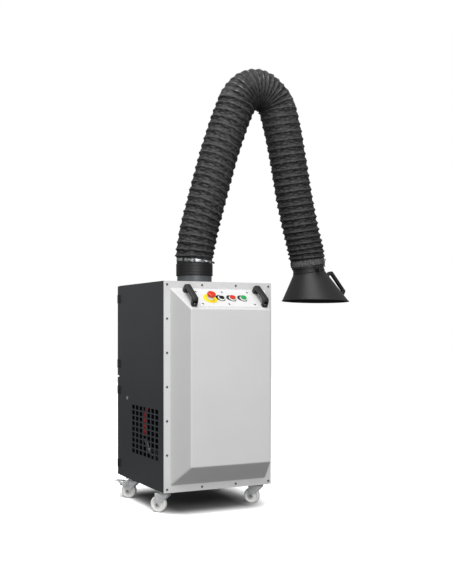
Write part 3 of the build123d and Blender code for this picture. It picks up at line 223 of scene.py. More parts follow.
def end_cap(ring, outward):
    """Two rings that close a sweep: one drawn in a little, and a point just past it."""
    centre = ring.mean(0)
    return [centre + (ring - centre) * 0.93 + outward * 0.5,
            np.repeat(centre[None], len(ring), 0) + outward * 0.6]


def swept(path, section, side):
    """A section carried along a path that stays square to side, with its ends closed."""
    path = np.asarray(path, float)
    way = unit(np.gradient(path, axis=0))
    side = unit(side)
    out = np.cross(way, side)
    grid = path[:, None] + (section[None, :, :1] * side + section[None, :, 1:] * out[:, None])
    start, end = end_cap(grid[0], -way[0]), end_cap(grid[-1], way[-1])
    return np.concatenate([np.stack(start[::-1]), grid, np.stack(end)])


print("points round a rounded box:", len(rounded_box_outline(10.0, 6.0, 1.0)))

# %% [markdown]
# ## Finishes
#
# Each material starts from one shader. Its colour is written as the hex value
# that a colour picker shows, and one function turns that into the linear
# numbers Blender works with. One more function adds a node with its settings.

# %% Colours and nodes
def linear(hex_code):
    """An sRGB hex colour as linear red, green, blue and alpha."""
    values = [int(hex_code.lstrip("#")[i:i + 2], 16) / 255 for i in (0, 2, 4)]
    return tuple(v / 12.92 if v <= 0.04045 else ((v + 0.055) / 1.055) ** 2.4 for v in values) + (1.0,)


def add(tree, kind, sockets=None, **settings):
    """Add a node, set its options, and fill or link its input sockets."""
    node = tree.nodes.new(kind)
    for name, value in settings.items():
        setattr(node, name, value)
    for name, value in (sockets or {}).items():
        if isinstance(value, bpy.types.NodeSocket):
            tree.links.new(value, node.inputs[name])
        else:
            node.inputs[name].default_value = value
    return node


def finish(name, hex_code, roughness, metallic=0.0, **sockets):
    """A new material with its colour and gloss set on the shader's own sockets."""
    material = bpy.data.materials.new(name)
    material.use_nodes = True
    shader = material.node_tree.nodes["Principled BSDF"]
    shader.inputs["Base Color"].default_value = linear(hex_code)
    shader.inputs["Roughness"].default_value = roughness
    shader.inputs["Metallic"].default_value = metallic
    for socket, value in sockets.items():
        shader.inputs[socket.replace("_", " ")].default_value = value
    return material, material.node_tree, shader


print("middle grey #808080 in linear light:", round(linear("#808080")[0], 3))


# %% Drift of tone, and grain
def mottled(tree, shader, dark, light, size_mm, spread):
    """Let the colour drift between two values in soft patches of about size_mm."""
    place = add(tree, "ShaderNodeTexCoord").outputs["Object"]
    noise = add(tree, "ShaderNodeTexNoise", {"Vector": place, "Scale": 1000 / size_mm, "Detail": 3.0})
    ramp = add(tree, "ShaderNodeValToRGB", {"Fac": noise.outputs["Fac"]})
    ramp.color_ramp.elements[0].position = 0.5 - spread
    ramp.color_ramp.elements[1].position = 0.5 + spread
    ramp.color_ramp.elements[0].color = linear(dark)
    ramp.color_ramp.elements[1].color = linear(light)
    tree.links.new(ramp.outputs["Color"], shader.inputs["Base Color"])
    return ramp


def grained(tree, shader, size_mm, depth_mm):
    """A fine raised grain: noise of about size_mm, depth_mm high, through a bump node."""
    place = add(tree, "ShaderNodeTexCoord").outputs["Object"]
    noise = add(tree, "ShaderNodeTexNoise", {"Vector": place, "Scale": 1000 / size_mm, "Detail": 2.0})
    bump = add(tree, "ShaderNodeBump", {"Height": noise.outputs["Fac"], "Distance": depth_mm * 0.001,
                                        "Strength": 1.0})
    tree.links.new(bump.outputs["Normal"], shader.inputs["Normal"])


# %% [markdown]
# Powder coat is dry plastic dust melted onto steel. It flows out into a skin
# with a faint orange peel, a few millimetres from crest to crest and some
# hundredths deep. That peel breaks up reflections, so the paint looks satin.

# %% Powder coated steel
TONE_DRIFT, ORANGE_PEEL, PEEL_DEPTH = 160.0, 2.6, 0.03


def powder_coat(name, dark, light, roughness):
    """Satin paint whose tone drifts a little over a hand's width, with an orange-peel grain."""
    material, tree, shader = finish(name, light, roughness)
    mottled(tree, shader, dark, light, TONE_DRIFT, 0.3)
    grained(tree, shader, ORANGE_PEEL, PEEL_DEPTH)
    return material


pan_grey = powder_coat("powder coat light grey", "#cccccc", "#d0d0d0", 0.5)
plate_grey = powder_coat("powder coat pale grey plate", "#d6d6d6", "#dadada", 0.45)
anthracite = powder_coat("powder coat anthracite", "#292e32", "#2d3237", 0.42)
spigot_grey = powder_coat("powder coat steel grey", "#4e5356", "#55595c", 0.45)
hood_black = powder_coat("powder coat satin black", "#1a1a1a", "#1e1e1e", 0.48)
dark_inside_paint = powder_coat("sooty black inside", "#090909", "#101010", 0.85)
arm_black = powder_coat("powder coat black arm", "#1c1c1c", "#202020", 0.5)
print("finishes so far:", len(bpy.data.materials))

# %% [markdown]
# The bare metals differ in how they were made. Zinc plate on the castors is
# bright with a soft blotchy bloom, and galvanised sheet shows large pale
# spangles. Rolled stainless bands gleam, and turn patchy where they are worn.
# Cast aluminium is dull and even, and plain screw steel is a darker grey. Noise
# patches of a real size, from 2 to 22 millimetres, change both tone and gloss.


# %% Bare metals
def bare_metal(name, dark, light, roughness, size_mm, spread=0.2, metallic=1.0):
    """A metal whose tone and gloss vary in patches of one real size."""
    material, tree, shader = finish(name, light, roughness, metallic)
    ramp = mottled(tree, shader, dark, light, size_mm, spread)
    gloss = add(tree, "ShaderNodeMapRange", {"Value": ramp.inputs["Fac"].links[0].from_socket,
                                             "To Min": roughness * 0.8, "To Max": roughness * 1.25})
    tree.links.new(gloss.outputs["Result"], shader.inputs["Roughness"])
    return material


zinc_plate = bare_metal("zinc plated steel", "#d0d2d4", "#f4f5f6", 0.3, 9.0, metallic=0.5)
galvanised = bare_metal("galvanised sheet", "#a7acb0", "#c3c7ca", 0.42, 22.0, 0.08)
stainless = bare_metal("rolled stainless band", "#9b9da0", "#c2c4c6", 0.3, 5.0)
worn_band = bare_metal("worn stainless band", "#4c4c4e", "#c6c8ca", 0.34, 16.0, 0.1)
cast_aluminium = bare_metal("cast aluminium", "#8d9195", "#a3a7aa", 0.55, 3.0)
screw_steel = bare_metal("plain screw steel", "#5a5a5a", "#7c7c7c", 0.34, 2.0)
dark_band = bare_metal("darkened steel band", "#3a3a3a", "#5c5c5c", 0.45, 5.0)
print("finishes so far:", len(bpy.data.materials))

# %% [markdown]
# Plastics take the finish of their mould: the handles are black nylon with a
# fine sparked grain that keeps them dull, the control heads are polished and
# catch small lights, the wheels are smooth white nylon, and the cuff and the
# door seals are dull rubber. A real mould's grain is finer than a pixel here, so
# it is drawn coarser, from one to four millimetres, and very shallow.


# %% Plastics and rubber
def moulded(name, hex_code, roughness, grain_mm, depth_mm):
    """Coloured plastic or rubber, with the grain of its mould."""
    material, tree, shader = finish(name, hex_code, roughness)
    grained(tree, shader, grain_mm, depth_mm)
    return material


black_nylon = moulded("sparked black nylon", "#1d1d1e", 0.48, 0.9, 0.03)
polished_black = moulded("polished black plastic", "#161616", 0.25, 3.0, 0.01)
bezel_white = moulded("polished white bezel", "#e3e3df", 0.22, 4.0, 0.01)
yellow_plate = moulded("yellow enamelled ring", "#f3dd1c", 0.35, 3.0, 0.01)
stop_red = moulded("polished red plastic", "#d2361a", 0.25, 4.0, 0.01)
start_green = moulded("polished green plastic", "#1fa24c", 0.22, 4.0, 0.01)
wheel_nylon = moulded("white nylon", "#f0f0ed", 0.38, 2.0, 0.02)
cuff_rubber = moulded("black cuff rubber", "#0f0f10", 0.5, 1.4, 0.04)
plug_grey = moulded("grey plug plastic", "#8a8d8f", 0.45, 1.2, 0.03)
seal_rubber = moulded("sponge rubber seal", "#1b1b1b", 0.8, 1.2, 0.12)
fan_red = moulded("red enamel", "#c11a20", 0.35, 3.0, 0.02)
filter_paper = moulded("pleated filter paper", "#d9d6c9", 0.9, 1.0, 0.15)
print("finishes so far:", len(bpy.data.materials))

# %% [markdown]
# The other pieces keep the shape of their measured solid and only need a
# finish: panels, doors, hinges, the arm, and what stands inside the case. A
# finish given through the solid's own slots leaves its mesh untouched.


# %% Put a finish on a solid that keeps its own shape
def dress(finish_used, *names):
    """Give the named solids a finish through their own material slots."""
    for name in names:
        for place in nodes[name].material_slots:
            place.material = finish_used
    print(finish_used.name, "on", len(names))


dress(pan_grey, "front_pan")
dress(plate_grey, "control_plate")
dress(anthracite, "left_side_panel", "right_side_panel", "base_pan", "top_panel", "rear_frame",
      "upper_door", "lower_door")
dress(screw_steel, "panel_screws")
dress(arm_black, "shoulder_bracket", "lower_arm", "upper_arm", "hood_collar", "hinge_leaves",
      "upper_door_hinges", "lower_door_hinges")
dress(plug_grey, "side_plug")
dress(black_nylon, "upper_latch", "lower_latch", "cable_gland", "contactor_box",
      "contact_blocks")
dress(galvanised, "fan_deck", "fan_housing")
dress(cast_aluminium, "impeller", "fan_motor", "spark_filter")
dress(filter_paper, "main_filter")

# %% [markdown]
# ## The hose
#
# The hose is coated polyester cloth glued round a spring of steel wire. The
# wire runs in one long screw line, so its turns stand as ridges, and the cloth
# between them hangs slack. It lies in sharp slanting creases where the turns
# are close, and pulls almost flat where a bend spreads them. Cloth simulation
# would need the wire as a collider. A formula gives the same slack more surely:
# the depth of each sag follows from the length of cloth between two turns.

# %% The line of the arm: runs and bends in one plane
SLEEVE = 30.0
BEND_Z = 1178.6
LEAN, TURN, DROP_TURN = 17.5, 149.3, 4.2
EASY, TIGHT = 700.0, 133.0
LOWER_RUN, UPPER_RUN, WRIST_RUN = 598.2, 713.0, 41.0
RUNS = ((SLEEVE, None, 0.0), (EASY * math.radians(LEAN), EASY, LEAN), (LOWER_RUN, None, 0.0),
        (TIGHT * math.radians(TURN), TIGHT, TURN), (UPPER_RUN, None, 0.0),
        (EASY * math.radians(DROP_TURN), EASY, DROP_TURN), (WRIST_RUN, None, 0.0))
STATIONS = np.cumsum([0.0] + [run[0] for run in RUNS])


def arm_line(s):
    """Centre, heading and curvature at distances along the arm.

    On a straight run the centre is start + distance * heading. On an arc it stands one radius from a pivot,
    and its heading grows by distance / radius.
    """
    s = np.asarray(s, float)
    centre, angle, curve = np.zeros(s.shape + (3,)), np.zeros(s.shape), np.zeros(s.shape)
    start, lean = np.array([0.0, ARM_Y, BEND_Z - SLEEVE]), 0.0
    for (length, radius, turn), begin in zip(RUNS, STATIONS):
        here = s >= begin
        along = s[here] - begin
        if radius is None:
            centre[here] = start + along[:, None] * heading(lean)
            angle[here], curve[here] = lean, 0.0
            start = start + length * heading(lean)
        else:
            now = lean + np.degrees(along / radius)
            pivot = start + radius * heading(lean + 90)
            centre[here] = pivot - radius * heading(now + 90)
            angle[here], curve[here] = now, 1 / radius
            start = pivot - radius * heading(lean + turn + 90)
            lean += turn
    return centre, angle, curve


hose_mouth, hose_end_angle, _ = arm_line(STATIONS[-1:])
print("hose length mm:", round(STATIONS[-1]), "mouth:", hose_mouth.round(1), "angle:", hose_end_angle)

# %% [markdown]
# Three tables, set beside the photograph, say how the hose differs from
# an even tube: how far apart the turns of wire are, how far the hose lies to
# one side of the arm, and where cloth bunches on the inside of the bend.

# %% Pitch, offset and bunching along the hose
WIRE_RADIUS = 97.0
COLUMNS = 232
STEP = 0.5
SMOOTHING = 80
PITCHES = ((0, 24), (30, 26), (75, 31), (110, 35), (250, 35), (300, 38.5), (650, 38.5), (800, 37),
           (880, 24), (1110, 24), (1150, 30), (1190, 40), (1320, 39.6), (1400, 37), (1600, 36.5),
           (1700, 35), (1800, 33), (1850, 31), (1880, 27.5), (1905, 26), (1994, 26))
SIDEWAYS = ((0, 0), (40, 0), (120, 9), (200, 12), (350, 8), (560, 3), (740, 8), (890, 21.5), (1015, 6),
            (1105, 13), (1155, 9), (1205, -1), (1320, -4), (1480, 1), (1640, 8), (1790, 7), (1890, 2),
            (1950, 0), (1994, 0))
BUNCHED = ((640, 0), (842, 4), (940, 0), (1090, 0), (1189, 4), (1400, 0))
fine = np.arange(0.0, STATIONS[-1] + 1.0, STEP)
turns_at = np.concatenate([[0.0], np.cumsum(STEP / np.interp(fine[:-1], *zip(*PITCHES)))])
print("turns of wire:", turns_at[-1].round(1))


def drawn(table, s):
    """A smooth line through listed values: straight pieces between them, averaged over 80 mm."""
    window = np.hanning(2 * SMOOTHING + 1)
    values = np.pad(np.interp(fine, *zip(*table)), SMOOTHING, mode="edge")
    return np.interp(s, fine, np.convolve(values, window / window.sum(), "valid"))


def waves(x, lengths, seed):
    """Smooth uneven waves: a sum of sines of the given lengths with steady random starts."""
    starts = np.random.default_rng(seed).uniform(0, 2 * np.pi, len(lengths))
    return sum(np.sin(2 * np.pi * x / length + start)
               for length, start in zip(lengths, starts)) / len(lengths)


def groove(x, width):
    """Straight-sided grooves at whole numbers: 1 at the bottom, 0 from a width away."""
    return np.clip(1 - np.abs(x - np.rint(x)) / width, 0, 1)


# %% [markdown]
# Between two turns the cloth sags like a slack string, deeper the closer the
# turns are. Two families of slanting grooves cross in it and crease it into
# uneven diamonds, and a rounded bead stands over each wire.

# %% The cloth between the turns of wire
TAUT, DEEPEST, SHALLOWEST, USUAL_SAG = 43.5, 9.5, 2.4, 8.0
COAT, CREASE = 1.8, 4.6
WIRE_WIDTH, SHADE_FROM_WIRE, SHADE_WIDTH = 2.2, 4.6, 2.6
RISING_SLANT, FALLING_SLANT = 89.0, 67.0
FULLER_FROM, FULLER_OVER = 1720, 120


def sag_between(gap):
    """How far cloth of length TAUT hangs over a gap: 0.6 * root of 3/8 * (TAUT squared - gap squared)."""
    free = 0.6 * np.sqrt(np.clip(0.375 * (TAUT ** 2 - gap ** 2), 0, None))
    return np.clip(free, SHALLOWEST, DEEPEST)


def hose_skin(s, turn):
    """Radius of the cloth at distances s and angles turn.

    f runs from 0 to 1 between two turns of wire. The radius is the wire's, less the coat, the hang and the
    cut of the creases, plus fine waves and the bead over the wire. The hang is lowest at a valley that
    wanders. Also returned: the arc along the wire, how deep and shaded the cloth is, which darkens its
    colour as painted shade with some dust, and how far a bend stretches it.
    """
    _, angle, curve = arm_line(s)
    pitch = np.interp(s, *zip(*PITCHES))[:, None]
    stretch = 1 - curve[:, None] * (WIRE_RADIUS - DEEPEST / 2) * np.cos(turn)[None]
    phase = np.interp(s, fine, turns_at)[:, None] + turn[None] / (2 * np.pi)
    band = np.floor(phase)
    f = phase - band
    along = (turn[None] / (2 * np.pi) - band) * 2 * np.pi * WIRE_RADIUS
    gap = pitch * stretch
    sag = sag_between(gap)
    slack = sag / USUAL_SAG
    drift = waves(along, (230, 410, 97), 3)
    below = np.cos(np.radians(angle))[:, None]
    valley = 0.5 + 0.14 * below + 0.2 * waves(along, (61, 143, 37), 5) + 0.06 * drift
    side = np.where(f < valley, f / valley, (1 - f) / (1 - valley))
    hang = sag * (0.84 + 0.2 * waves(along, (88, 51, 177), 29)) * (1 - (1 - np.clip(side, 0, 1)) ** 1.15)
    hang = hang * (1 + 0.25 * np.clip((s[:, None] - FULLER_FROM) / FULLER_OVER, 0, 1))
    edge = np.sin(np.pi * f) ** 0.5
    rising = groove(2.4 * f + along / RISING_SLANT + 0.22 * waves(along, (231, 147, 83), 13), 0.27)
    falling = groove(2.0 * f - along / FALLING_SLANT + 0.24 * waves(along, (251, 139, 97), 37), 0.25)
    uneven = 0.85 + 0.5 * waves(along + 60 * f, (97, 61, 139), 53)
    creases = edge * np.clip(uneven, 0.2, 1.2) * np.maximum(rising, falling)
    small = 0.22 * slack * waves(along - 40 * f, (11, 16, 8.5), 17) * edge
    crest = np.minimum(f, 1 - f) * gap
    wire = np.exp(-(crest / WIRE_WIDTH) ** 2)
    cut = CREASE * np.clip(slack, 0.2, 0.8) * (creases - 0.45 * edge)
    radius = WIRE_RADIUS - COAT - hang - cut + small + COAT * wire
    # Painted shadow: the cloth a few millimetres under each wire, on its lower side, is darkened as if the
    # wire shaded it.
    under = np.where(below > 0, 1 - f, f) * gap
    shade = np.exp(-((under - SHADE_FROM_WIRE) / SHADE_WIDTH) ** 2) * np.clip(np.abs(below) * 1.6, 0.3, 1)
    # The colour value is painted shade with some dust: darker in deep sags and creases, and in the painted
    # shadow under each wire.
    creased = creases * np.clip(slack, 0.3, 1)
    depth_and_shade = np.clip(0.5 * (WIRE_RADIUS - radius) / DEEPEST + 0.7 * creased + 0.4 * shade, 0, 1)
    return radius, along, depth_and_shade, stretch


print("sag in mm at gaps of 24, 35 and 42:", sag_between(np.array([24.0, 35.0, 42.0])).round(1))

# %% [markdown]
# A stretch of hose is a closed wall, with the cloth outside and a plain bore
# inside. At both ends of the hose the cloth turns into a smooth sleeve under
# its clamp. Where stretches meet, one is tucked a little inside the next.

# %% The outside and the bore of a stretch
RING_STEP, BORE_STEP = 2.5, 40
SLEEVE_RADIUS, SLEEVE_MARGIN, SLEEVE_EASE = 86.2, 6, 10
BORE, SLEEVE_BORE, BORE_EASE = 80.5, 84.7, 4
TUCK_DEPTH, TUCK_WIDTH = 1.6, 3.0
SLEEVE_TOP = STATIONS[-1] - SLEEVE


def outside_radius(s, turn, tucked):
    """Cloth eased into a sleeve near the hose's ends, less a bell-shaped tuck at each place in tucked."""
    radius, along, depth_and_shade, stretch = hose_skin(s, turn)
    low, high = SLEEVE + SLEEVE_MARGIN - s, s - (SLEEVE_TOP - SLEEVE_MARGIN)
    sleeve = np.clip(np.maximum(low / SLEEVE_EASE, high / SLEEVE_EASE), 0, 1)[:, None]
    smooth = SLEEVE_RADIUS + 0.5 * waves(along, (14, 23, 9), 23)
    radius = radius * (1 - sleeve) + smooth * sleeve
    for at in tucked:
        radius -= TUCK_DEPTH * np.exp(-((s - at) / TUCK_WIDTH) ** 2)[:, None]
    return radius, depth_and_shade, stretch


def bore_radius(first, last):
    """Distances of the bore's rings from last to first, and its radius, wider within the sleeves."""
    steps = np.array([SLEEVE - BORE_EASE, SLEEVE, SLEEVE_TOP, SLEEVE_TOP + BORE_EASE])
    steps = steps[(steps > first) & (steps < last)]
    even = np.linspace(first, last, int((last - first) / BORE_STEP))
    s = np.unique(np.concatenate([even, steps]))[::-1]
    sleeve = np.clip(np.maximum(SLEEVE - s, s - SLEEVE_TOP) / BORE_EASE, 0, 1)
    return s, np.repeat((BORE + (SLEEVE_BORE - BORE) * sleeve)[:, None], COLUMNS, 1)


print("rings of the bore in the first 300 mm:", len(bore_radius(0.0, 300.0)[0]))


# %% The map of the weave, and one stretch as a mesh
def map_weave(mesh, s, turn):
    """A flat map in metres: the arc round the hose across, and the distance along it up."""
    weave = np.zeros((len(s), COLUMNS, 2))
    weave[:, :, 0] = (turn * WIRE_RADIUS * 0.001)[None]
    weave[:, :, 1] = (s * 0.001)[:, None]
    layer = mesh.uv_layers.new(name="weave")
    corners = np.zeros(len(mesh.loops), np.int32)
    mesh.loops.foreach_get("vertex_index", corners)
    uv = weave.reshape(-1, 2)[corners].reshape(-1, 4, 2)
    wide = uv[:, :, 0].max(1) - uv[:, :, 0].min(1) > 0.2
    uv[:, :, 0] += np.where(wide[:, None] & (uv[:, :, 0] < 0), 2 * math.pi * WIRE_RADIUS * 0.001, 0)
    layer.data.foreach_set("uv", uv.astype(np.float32).ravel())


def hose_piece(name, first, last, tucked):
    """A stretch of hose as a closed wall.

    A point is centre + radius * (inward * cos + across * sin). The centre is the arm's line moved to one
    side, and the radius grows on the inside of the bend, where the cloth bunches.
    """
    s = np.arange(first, last + RING_STEP / 2, RING_STEP)
    turn = np.linspace(-np.pi, np.pi, COLUMNS, endpoint=False)
    radius, depth_and_shade, stretch = outside_radius(s, turn, tucked)
    inner_s, inner = bore_radius(first, last)
    all_s, all_r = np.concatenate([s, inner_s]), np.concatenate([radius, inner])
    all_r = all_r + drawn(BUNCHED, all_s)[:, None] * np.clip(np.cos(turn), 0, 1) ** 2
    centre, angle, _ = arm_line(all_s)
    inward = heading(angle + 90)
    centre = centre + drawn(SIDEWAYS, all_s)[:, None] * inward
    ring = np.cos(turn)[None, :, None] * inward[:, None] + np.sin(turn)[None, :, None] * ACROSS
    points = centre[:, None] + all_r[:, :, None] * ring
    faces = quads(len(all_s), COLUMNS, True)
    mesh = new_mesh(name, points.reshape(-1, 3), faces[:, ::-1], np.zeros(len(faces)))
    mesh.polygons.foreach_set("use_smooth", np.ones(len(faces), bool))
    mesh.materials.append(hose_cloth)
    inside = np.ones((len(inner_s), COLUMNS))
    for label, values in (("depth_and_shade", depth_and_shade), ("spread", stretch)):
        data = mesh.attributes.new(label, "FLOAT", "POINT")
        data.data.foreach_set("value", np.concatenate([values, inside]).astype(np.float32).ravel())
    map_weave(mesh, all_s, turn)
    item = bpy.data.objects.new(name, mesh)
    bpy.context.collection.objects.link(item)
    print(name, "faces:", len(faces), "radius mm:", radius.min().round(1), "to", radius.max().round(1))
    return item


# %% [markdown]
# The cloth is woven polyester with a thin coat of rubbery plastic, so it is
# dull with a weak sheen. Dust and painted shade darken the folds, and a painted
# shadow runs under each wire. Where a bend pulls it tight, short pale dashes on
# its crests are painted highlights, the glints of taut cloth. Threads half a
# millimetre apart are too fine to show from here, so the weave is drawn three
# times coarser. Both patterns run with the hose, on its own UV map.

# %% Coated hose cloth
hose_cloth, tree, shader = finish("coated polyester cloth", "#303031", 0.6, Specular_IOR_Level=0.4)
weave = add(tree, "ShaderNodeUVMap", uv_map="weave").outputs["UV"]
depth_and_shade = add(tree, "ShaderNodeAttribute", attribute_name="depth_and_shade").outputs["Fac"]
patch = add(tree, "ShaderNodeTexNoise", {"Vector": weave, "Scale": 60.0, "Detail": 5.0}).outputs["Fac"]
# Painted shade with some dust: the colour darkens towards #101011 in deep folds, in creases and under each
# wire.
tone = add(tree, "ShaderNodeMath", {0: depth_and_shade, 1: -0.55, 2: patch}, operation="MULTIPLY_ADD").outputs[0]
ramp = add(tree, "ShaderNodeValToRGB", {"Fac": tone})
ramp.color_ramp.elements[0].position, ramp.color_ramp.elements[0].color = 0.0, linear("#101011")
ramp.color_ramp.elements[1].position, ramp.color_ramp.elements[1].color = 0.55, linear("#434344")
# Painted highlight: on crests that a bend pulls taut, short pale dashes mixed towards #b0b0b1 stand in for
# glints of the cloth.
spread = add(tree, "ShaderNodeAttribute", attribute_name="spread").outputs["Fac"]
dashes = add(tree, "ShaderNodeMapping", {"Vector": weave, "Scale": (24.0, 230.0, 1.0)}).outputs["Vector"]
dash = add(tree, "ShaderNodeTexNoise", {"Vector": dashes, "Scale": 1.0, "Detail": 2.0}).outputs["Fac"]
taut = add(tree, "ShaderNodeMapRange", {"Value": spread, "From Min": 1.03, "From Max": 1.25})
proud = add(tree, "ShaderNodeMapRange", {"Value": depth_and_shade, "From Min": 0.05, "From Max": 0.2, "To Min": 1.0,
                                         "To Max": 0.0}).outputs["Result"]
open_crest = add(tree, "ShaderNodeMath", {0: taut.outputs["Result"], 1: proud}, operation="MULTIPLY")
glint_strength = add(tree, "ShaderNodeMapRange", {"Value": dash, "From Min": 0.52, "From Max": 0.6, "To Max": 0.75})
shown = add(tree, "ShaderNodeMath", {0: open_crest.outputs[0], 1: glint_strength.outputs["Result"]},
            operation="MULTIPLY").outputs[0]
crest_glint_colour = add(tree, "ShaderNodeMix", {"Factor": shown, "A": ramp.outputs["Color"], "B": linear("#b0b0b1")},
           data_type="RGBA")
tree.links.new(crest_glint_colour.outputs["Result"], shader.inputs["Base Color"])
threads = add(tree, "ShaderNodeTexChecker", {"Vector": weave, "Scale": 640.0}).outputs["Fac"]
rough = add(tree, "ShaderNodeTexNoise", {"Vector": weave, "Scale": 260.0, "Detail": 4.0}).outputs["Fac"]
height = add(tree, "ShaderNodeMath", {0: rough, 1: 2.2, 2: threads}, operation="MULTIPLY_ADD").outputs[0]
bump = add(tree, "ShaderNodeBump", {"Height": height, "Distance": 0.00022, "Strength": 1.0})
tree.links.new(bump.outputs["Normal"], shader.inputs["Normal"])
print("nodes in the hose cloth:", len(tree.nodes))

# %% Cloth whose weave is rubbed pale
rubbed_cloth, pale_tree, pale_shader = finish("rubbed polyester cloth", "#6c6c6c", 0.8)
mottled(pale_tree, pale_shader, "#202020", "#6a6a6a", 6.0, 0.13)
grained(pale_tree, pale_shader, 2.4, 0.5)
print("nodes in the rubbed cloth:", len(pale_tree.nodes))

# %% [markdown]
# The hose bends at the shoulder, the elbow and the wrist, so it is cut in the
# straight middle of its two long runs, into three stretches.

# %% Three stretches of hose, each bending over one joint
OVERLAP = 2.0
middle_low = STATIONS[2] + 320.0
middle_high = STATIONS[4] + 350.0
hose_base = hose_piece("hose_base", 0.0, middle_low, (middle_low,))
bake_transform(hose_base)
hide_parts("hose_shoulder", "hose_lower")
hose_arch = hose_piece("hose_arch", middle_low - OVERLAP, middle_high + OVERLAP, ())
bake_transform(hose_arch)
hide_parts("hose_elbow", "hose_upper")
hose_tip = hose_piece("hose_tip", middle_high, STATIONS[-1], (middle_high,))
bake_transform(hose_tip)
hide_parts("hose_wrist")

# %% [markdown]
# ## The hood
#
# The hood is spun steel: a flat disc pressed over a turning form. Its neck is
# a short tube set at a slant, and the cone runs from it to an almost level rim.
# Both ends are circles, so straight lines between matching points make the
# cone. Small insets on the way draw its wall in by about two millimetres, and
# step it out again to the rolled edge of the rim. The inside is near black,
# darker and duller than the outside.

# %% Neck, cone and rim in one closed wall
NECK_ANGLE = LEAN + TURN + DROP_TURN
neck_way = heading(NECK_ANGLE)
neck_side = heading(NECK_ANGLE - 90)
neck_start = hose_mouth[0] + neck_way * 0.5
NECK, SOCKET, THROAT, RIM = 38.0, 85.5, 81.0, 176.4
neck_end = neck_start + neck_way * NECK
RIM_OFFSET, RIM_LEAN, RIM_DIP, WALL = np.array([39.7, 0.0, -150.2]), 91.3, -0.019, 1.4
rim_centre = neck_end + RIM_OFFSET
rim_side = heading(RIM_LEAN)
rim_across = np.array([0.0, 1.0, RIM_DIP])
turn = np.linspace(0, 2 * np.pi, 160, endpoint=False)


def neck_ring(distance, radius):
    """A circle square to the neck, at a distance from its start."""
    ring = np.cos(turn)[:, None] * neck_side + np.sin(turn)[:, None] * ACROSS
    return neck_start + neck_way * distance + radius * ring


def cone_ring(share, inset):
    """A ring of the cone: each point goes the same share of the way from the neck to the rim."""
    level = np.cos(turn)[:, None] * rim_side + np.sin(turn)[:, None] * rim_across
    high, low = neck_ring(NECK, THROAT - inset), rim_centre + (RIM - inset) * level
    return high + (low - high) * share


neck_profile = eased([(0.0, SOCKET - WALL), (0.0, SOCKET), (14.6, SOCKET), (15.4, THROAT), (32.6, THROAT),
                      (33.6, THROAT + 3.0), (37.0, THROAT + 3.0), (NECK, THROAT + 0.2)], 0.6)
cone_profile = eased([(0.01, 0.0), (0.10, 1.0), (0.5, 2.0), (0.9, 2.4), (0.966, 2.4), (0.974, 0.5),
                      (0.984, 0.0), (0.995, 0.3), (1.0, 1.4)], 0.01, 3)
outside = [neck_ring(distance, radius) for distance, radius in neck_profile]
outside += [cone_ring(share, inset) for share, inset in cone_profile]
inside = [outside[-1]] + [cone_ring(share, 3.2) for share in np.linspace(0.998, 0.01, 10)]
inside += [neck_ring(distance, THROAT - WALL) for distance in (NECK - 1.0, 15.6)]
inside += [neck_ring(14.6, SOCKET - WALL), outside[0]]
piece("hood_cone", "hood", [(np.stack(outside), hood_black), (np.stack(inside), dark_inside_paint)],
      ("hood_shell",), 28.0)

# %% [markdown]
# A worm-drive band holds each end of the hose. It is a strip of rolled
# stainless steel, with a small pressed housing whose screw draws the strip
# tight, and a loose tail past the screw. The upper one grips a sewn end that
# covers most of it. Each is a turned ring, a small slab and a swept strip.

# %% Left, right and near, as the camera sees them
LEFT, RIGHT = np.array([-0.893, 0.449, 0.0]), np.array([0.893, -0.449, 0.0])
NEAR = np.array([-0.449, -0.893, 0.0])
print("right and near are square:", round(float(RIGHT @ NEAR), 3))


# %% Band clamps with their screws and tails
def band_clamp(name, node, body, middle, way, facing, grip, band_finish, height, tail):
    """A ring of strip, a screw housing beside it, and a tail that lifts off by the square of its share."""
    way = unit(way)
    out = unit(facing - way * np.dot(facing, way))
    along = unit(np.cross(way, out))
    half = height / 2
    band = eased([(grip, -half), (grip + 0.6, -half - 0.4), (grip + 0.8, -half + 1.4), (grip + 1.0, 0.0),
                  (grip + 0.8, half - 1.4), (grip + 0.6, half + 0.4), (grip, half)], 0.5, 2)
    ring = turned(band, middle, way, 120)
    seat = middle + out * (grip + 5.2)
    housing = slab(rounded_box_outline(9.0, 10.5, 3.0), seat, out, way, low=-9.0, high=8.0, edge=1.0)
    hexagon = eased([(0.0, 8.0), (4.6, 8.0), (4.6, 13.0), (3.9, 14.0), (0.0, 14.0)], 0.6, 2)
    head = turned(hexagon, seat, np.cross(out, way), 6)
    angle = np.radians(np.linspace(0.0, tail, 14))
    lift = np.linspace(0.0, 1.0, 14) ** 2 * 9.0
    outward = np.cos(angle)[:, None] * out + np.sin(angle)[:, None] * along
    path = middle + (grip + 1.8 + lift)[:, None] * outward
    strip = swept(path, squircle(height - 3.0, 0.8, 6.0, 16), way)
    piece(name, body, [(ring, band_finish, True), (housing, stainless), (head, zinc_plate),
                       (strip, band_finish)], (node,))


up = np.array([0.0, 0.0, 1.0])
BASE_CLAMP_Z, BASE_TILT, HOOD_CLAMP_BACK = 1162.5, math.tan(math.radians(4.5)), 15.0
band_clamp("base_clamp_band", "base_clamp", "turret", np.array([0.0, ARM_Y, BASE_CLAMP_Z]),
           up + BASE_TILT * RIGHT, 0.695 * NEAR + 0.72 * RIGHT, grip=87.0, band_finish=worn_band,
           height=13.0, tail=44.0)
band_clamp("hood_clamp_band", "hood_clamp", "wrist", hose_mouth[0] - neck_way * HOOD_CLAMP_BACK, neck_way,
           0.33 * NEAR + 0.94 * RIGHT, grip=86.4, band_finish=dark_band, height=14.0, tail=24.0)

# %% [markdown]
# Over the upper clamp the cloth's own end is drawn together and hangs past it,
# so its rubbed weave shows as a pale rough cuff round the neck. It is one thin
# wall with uneven pleats, and a strap end hangs from it on the left.


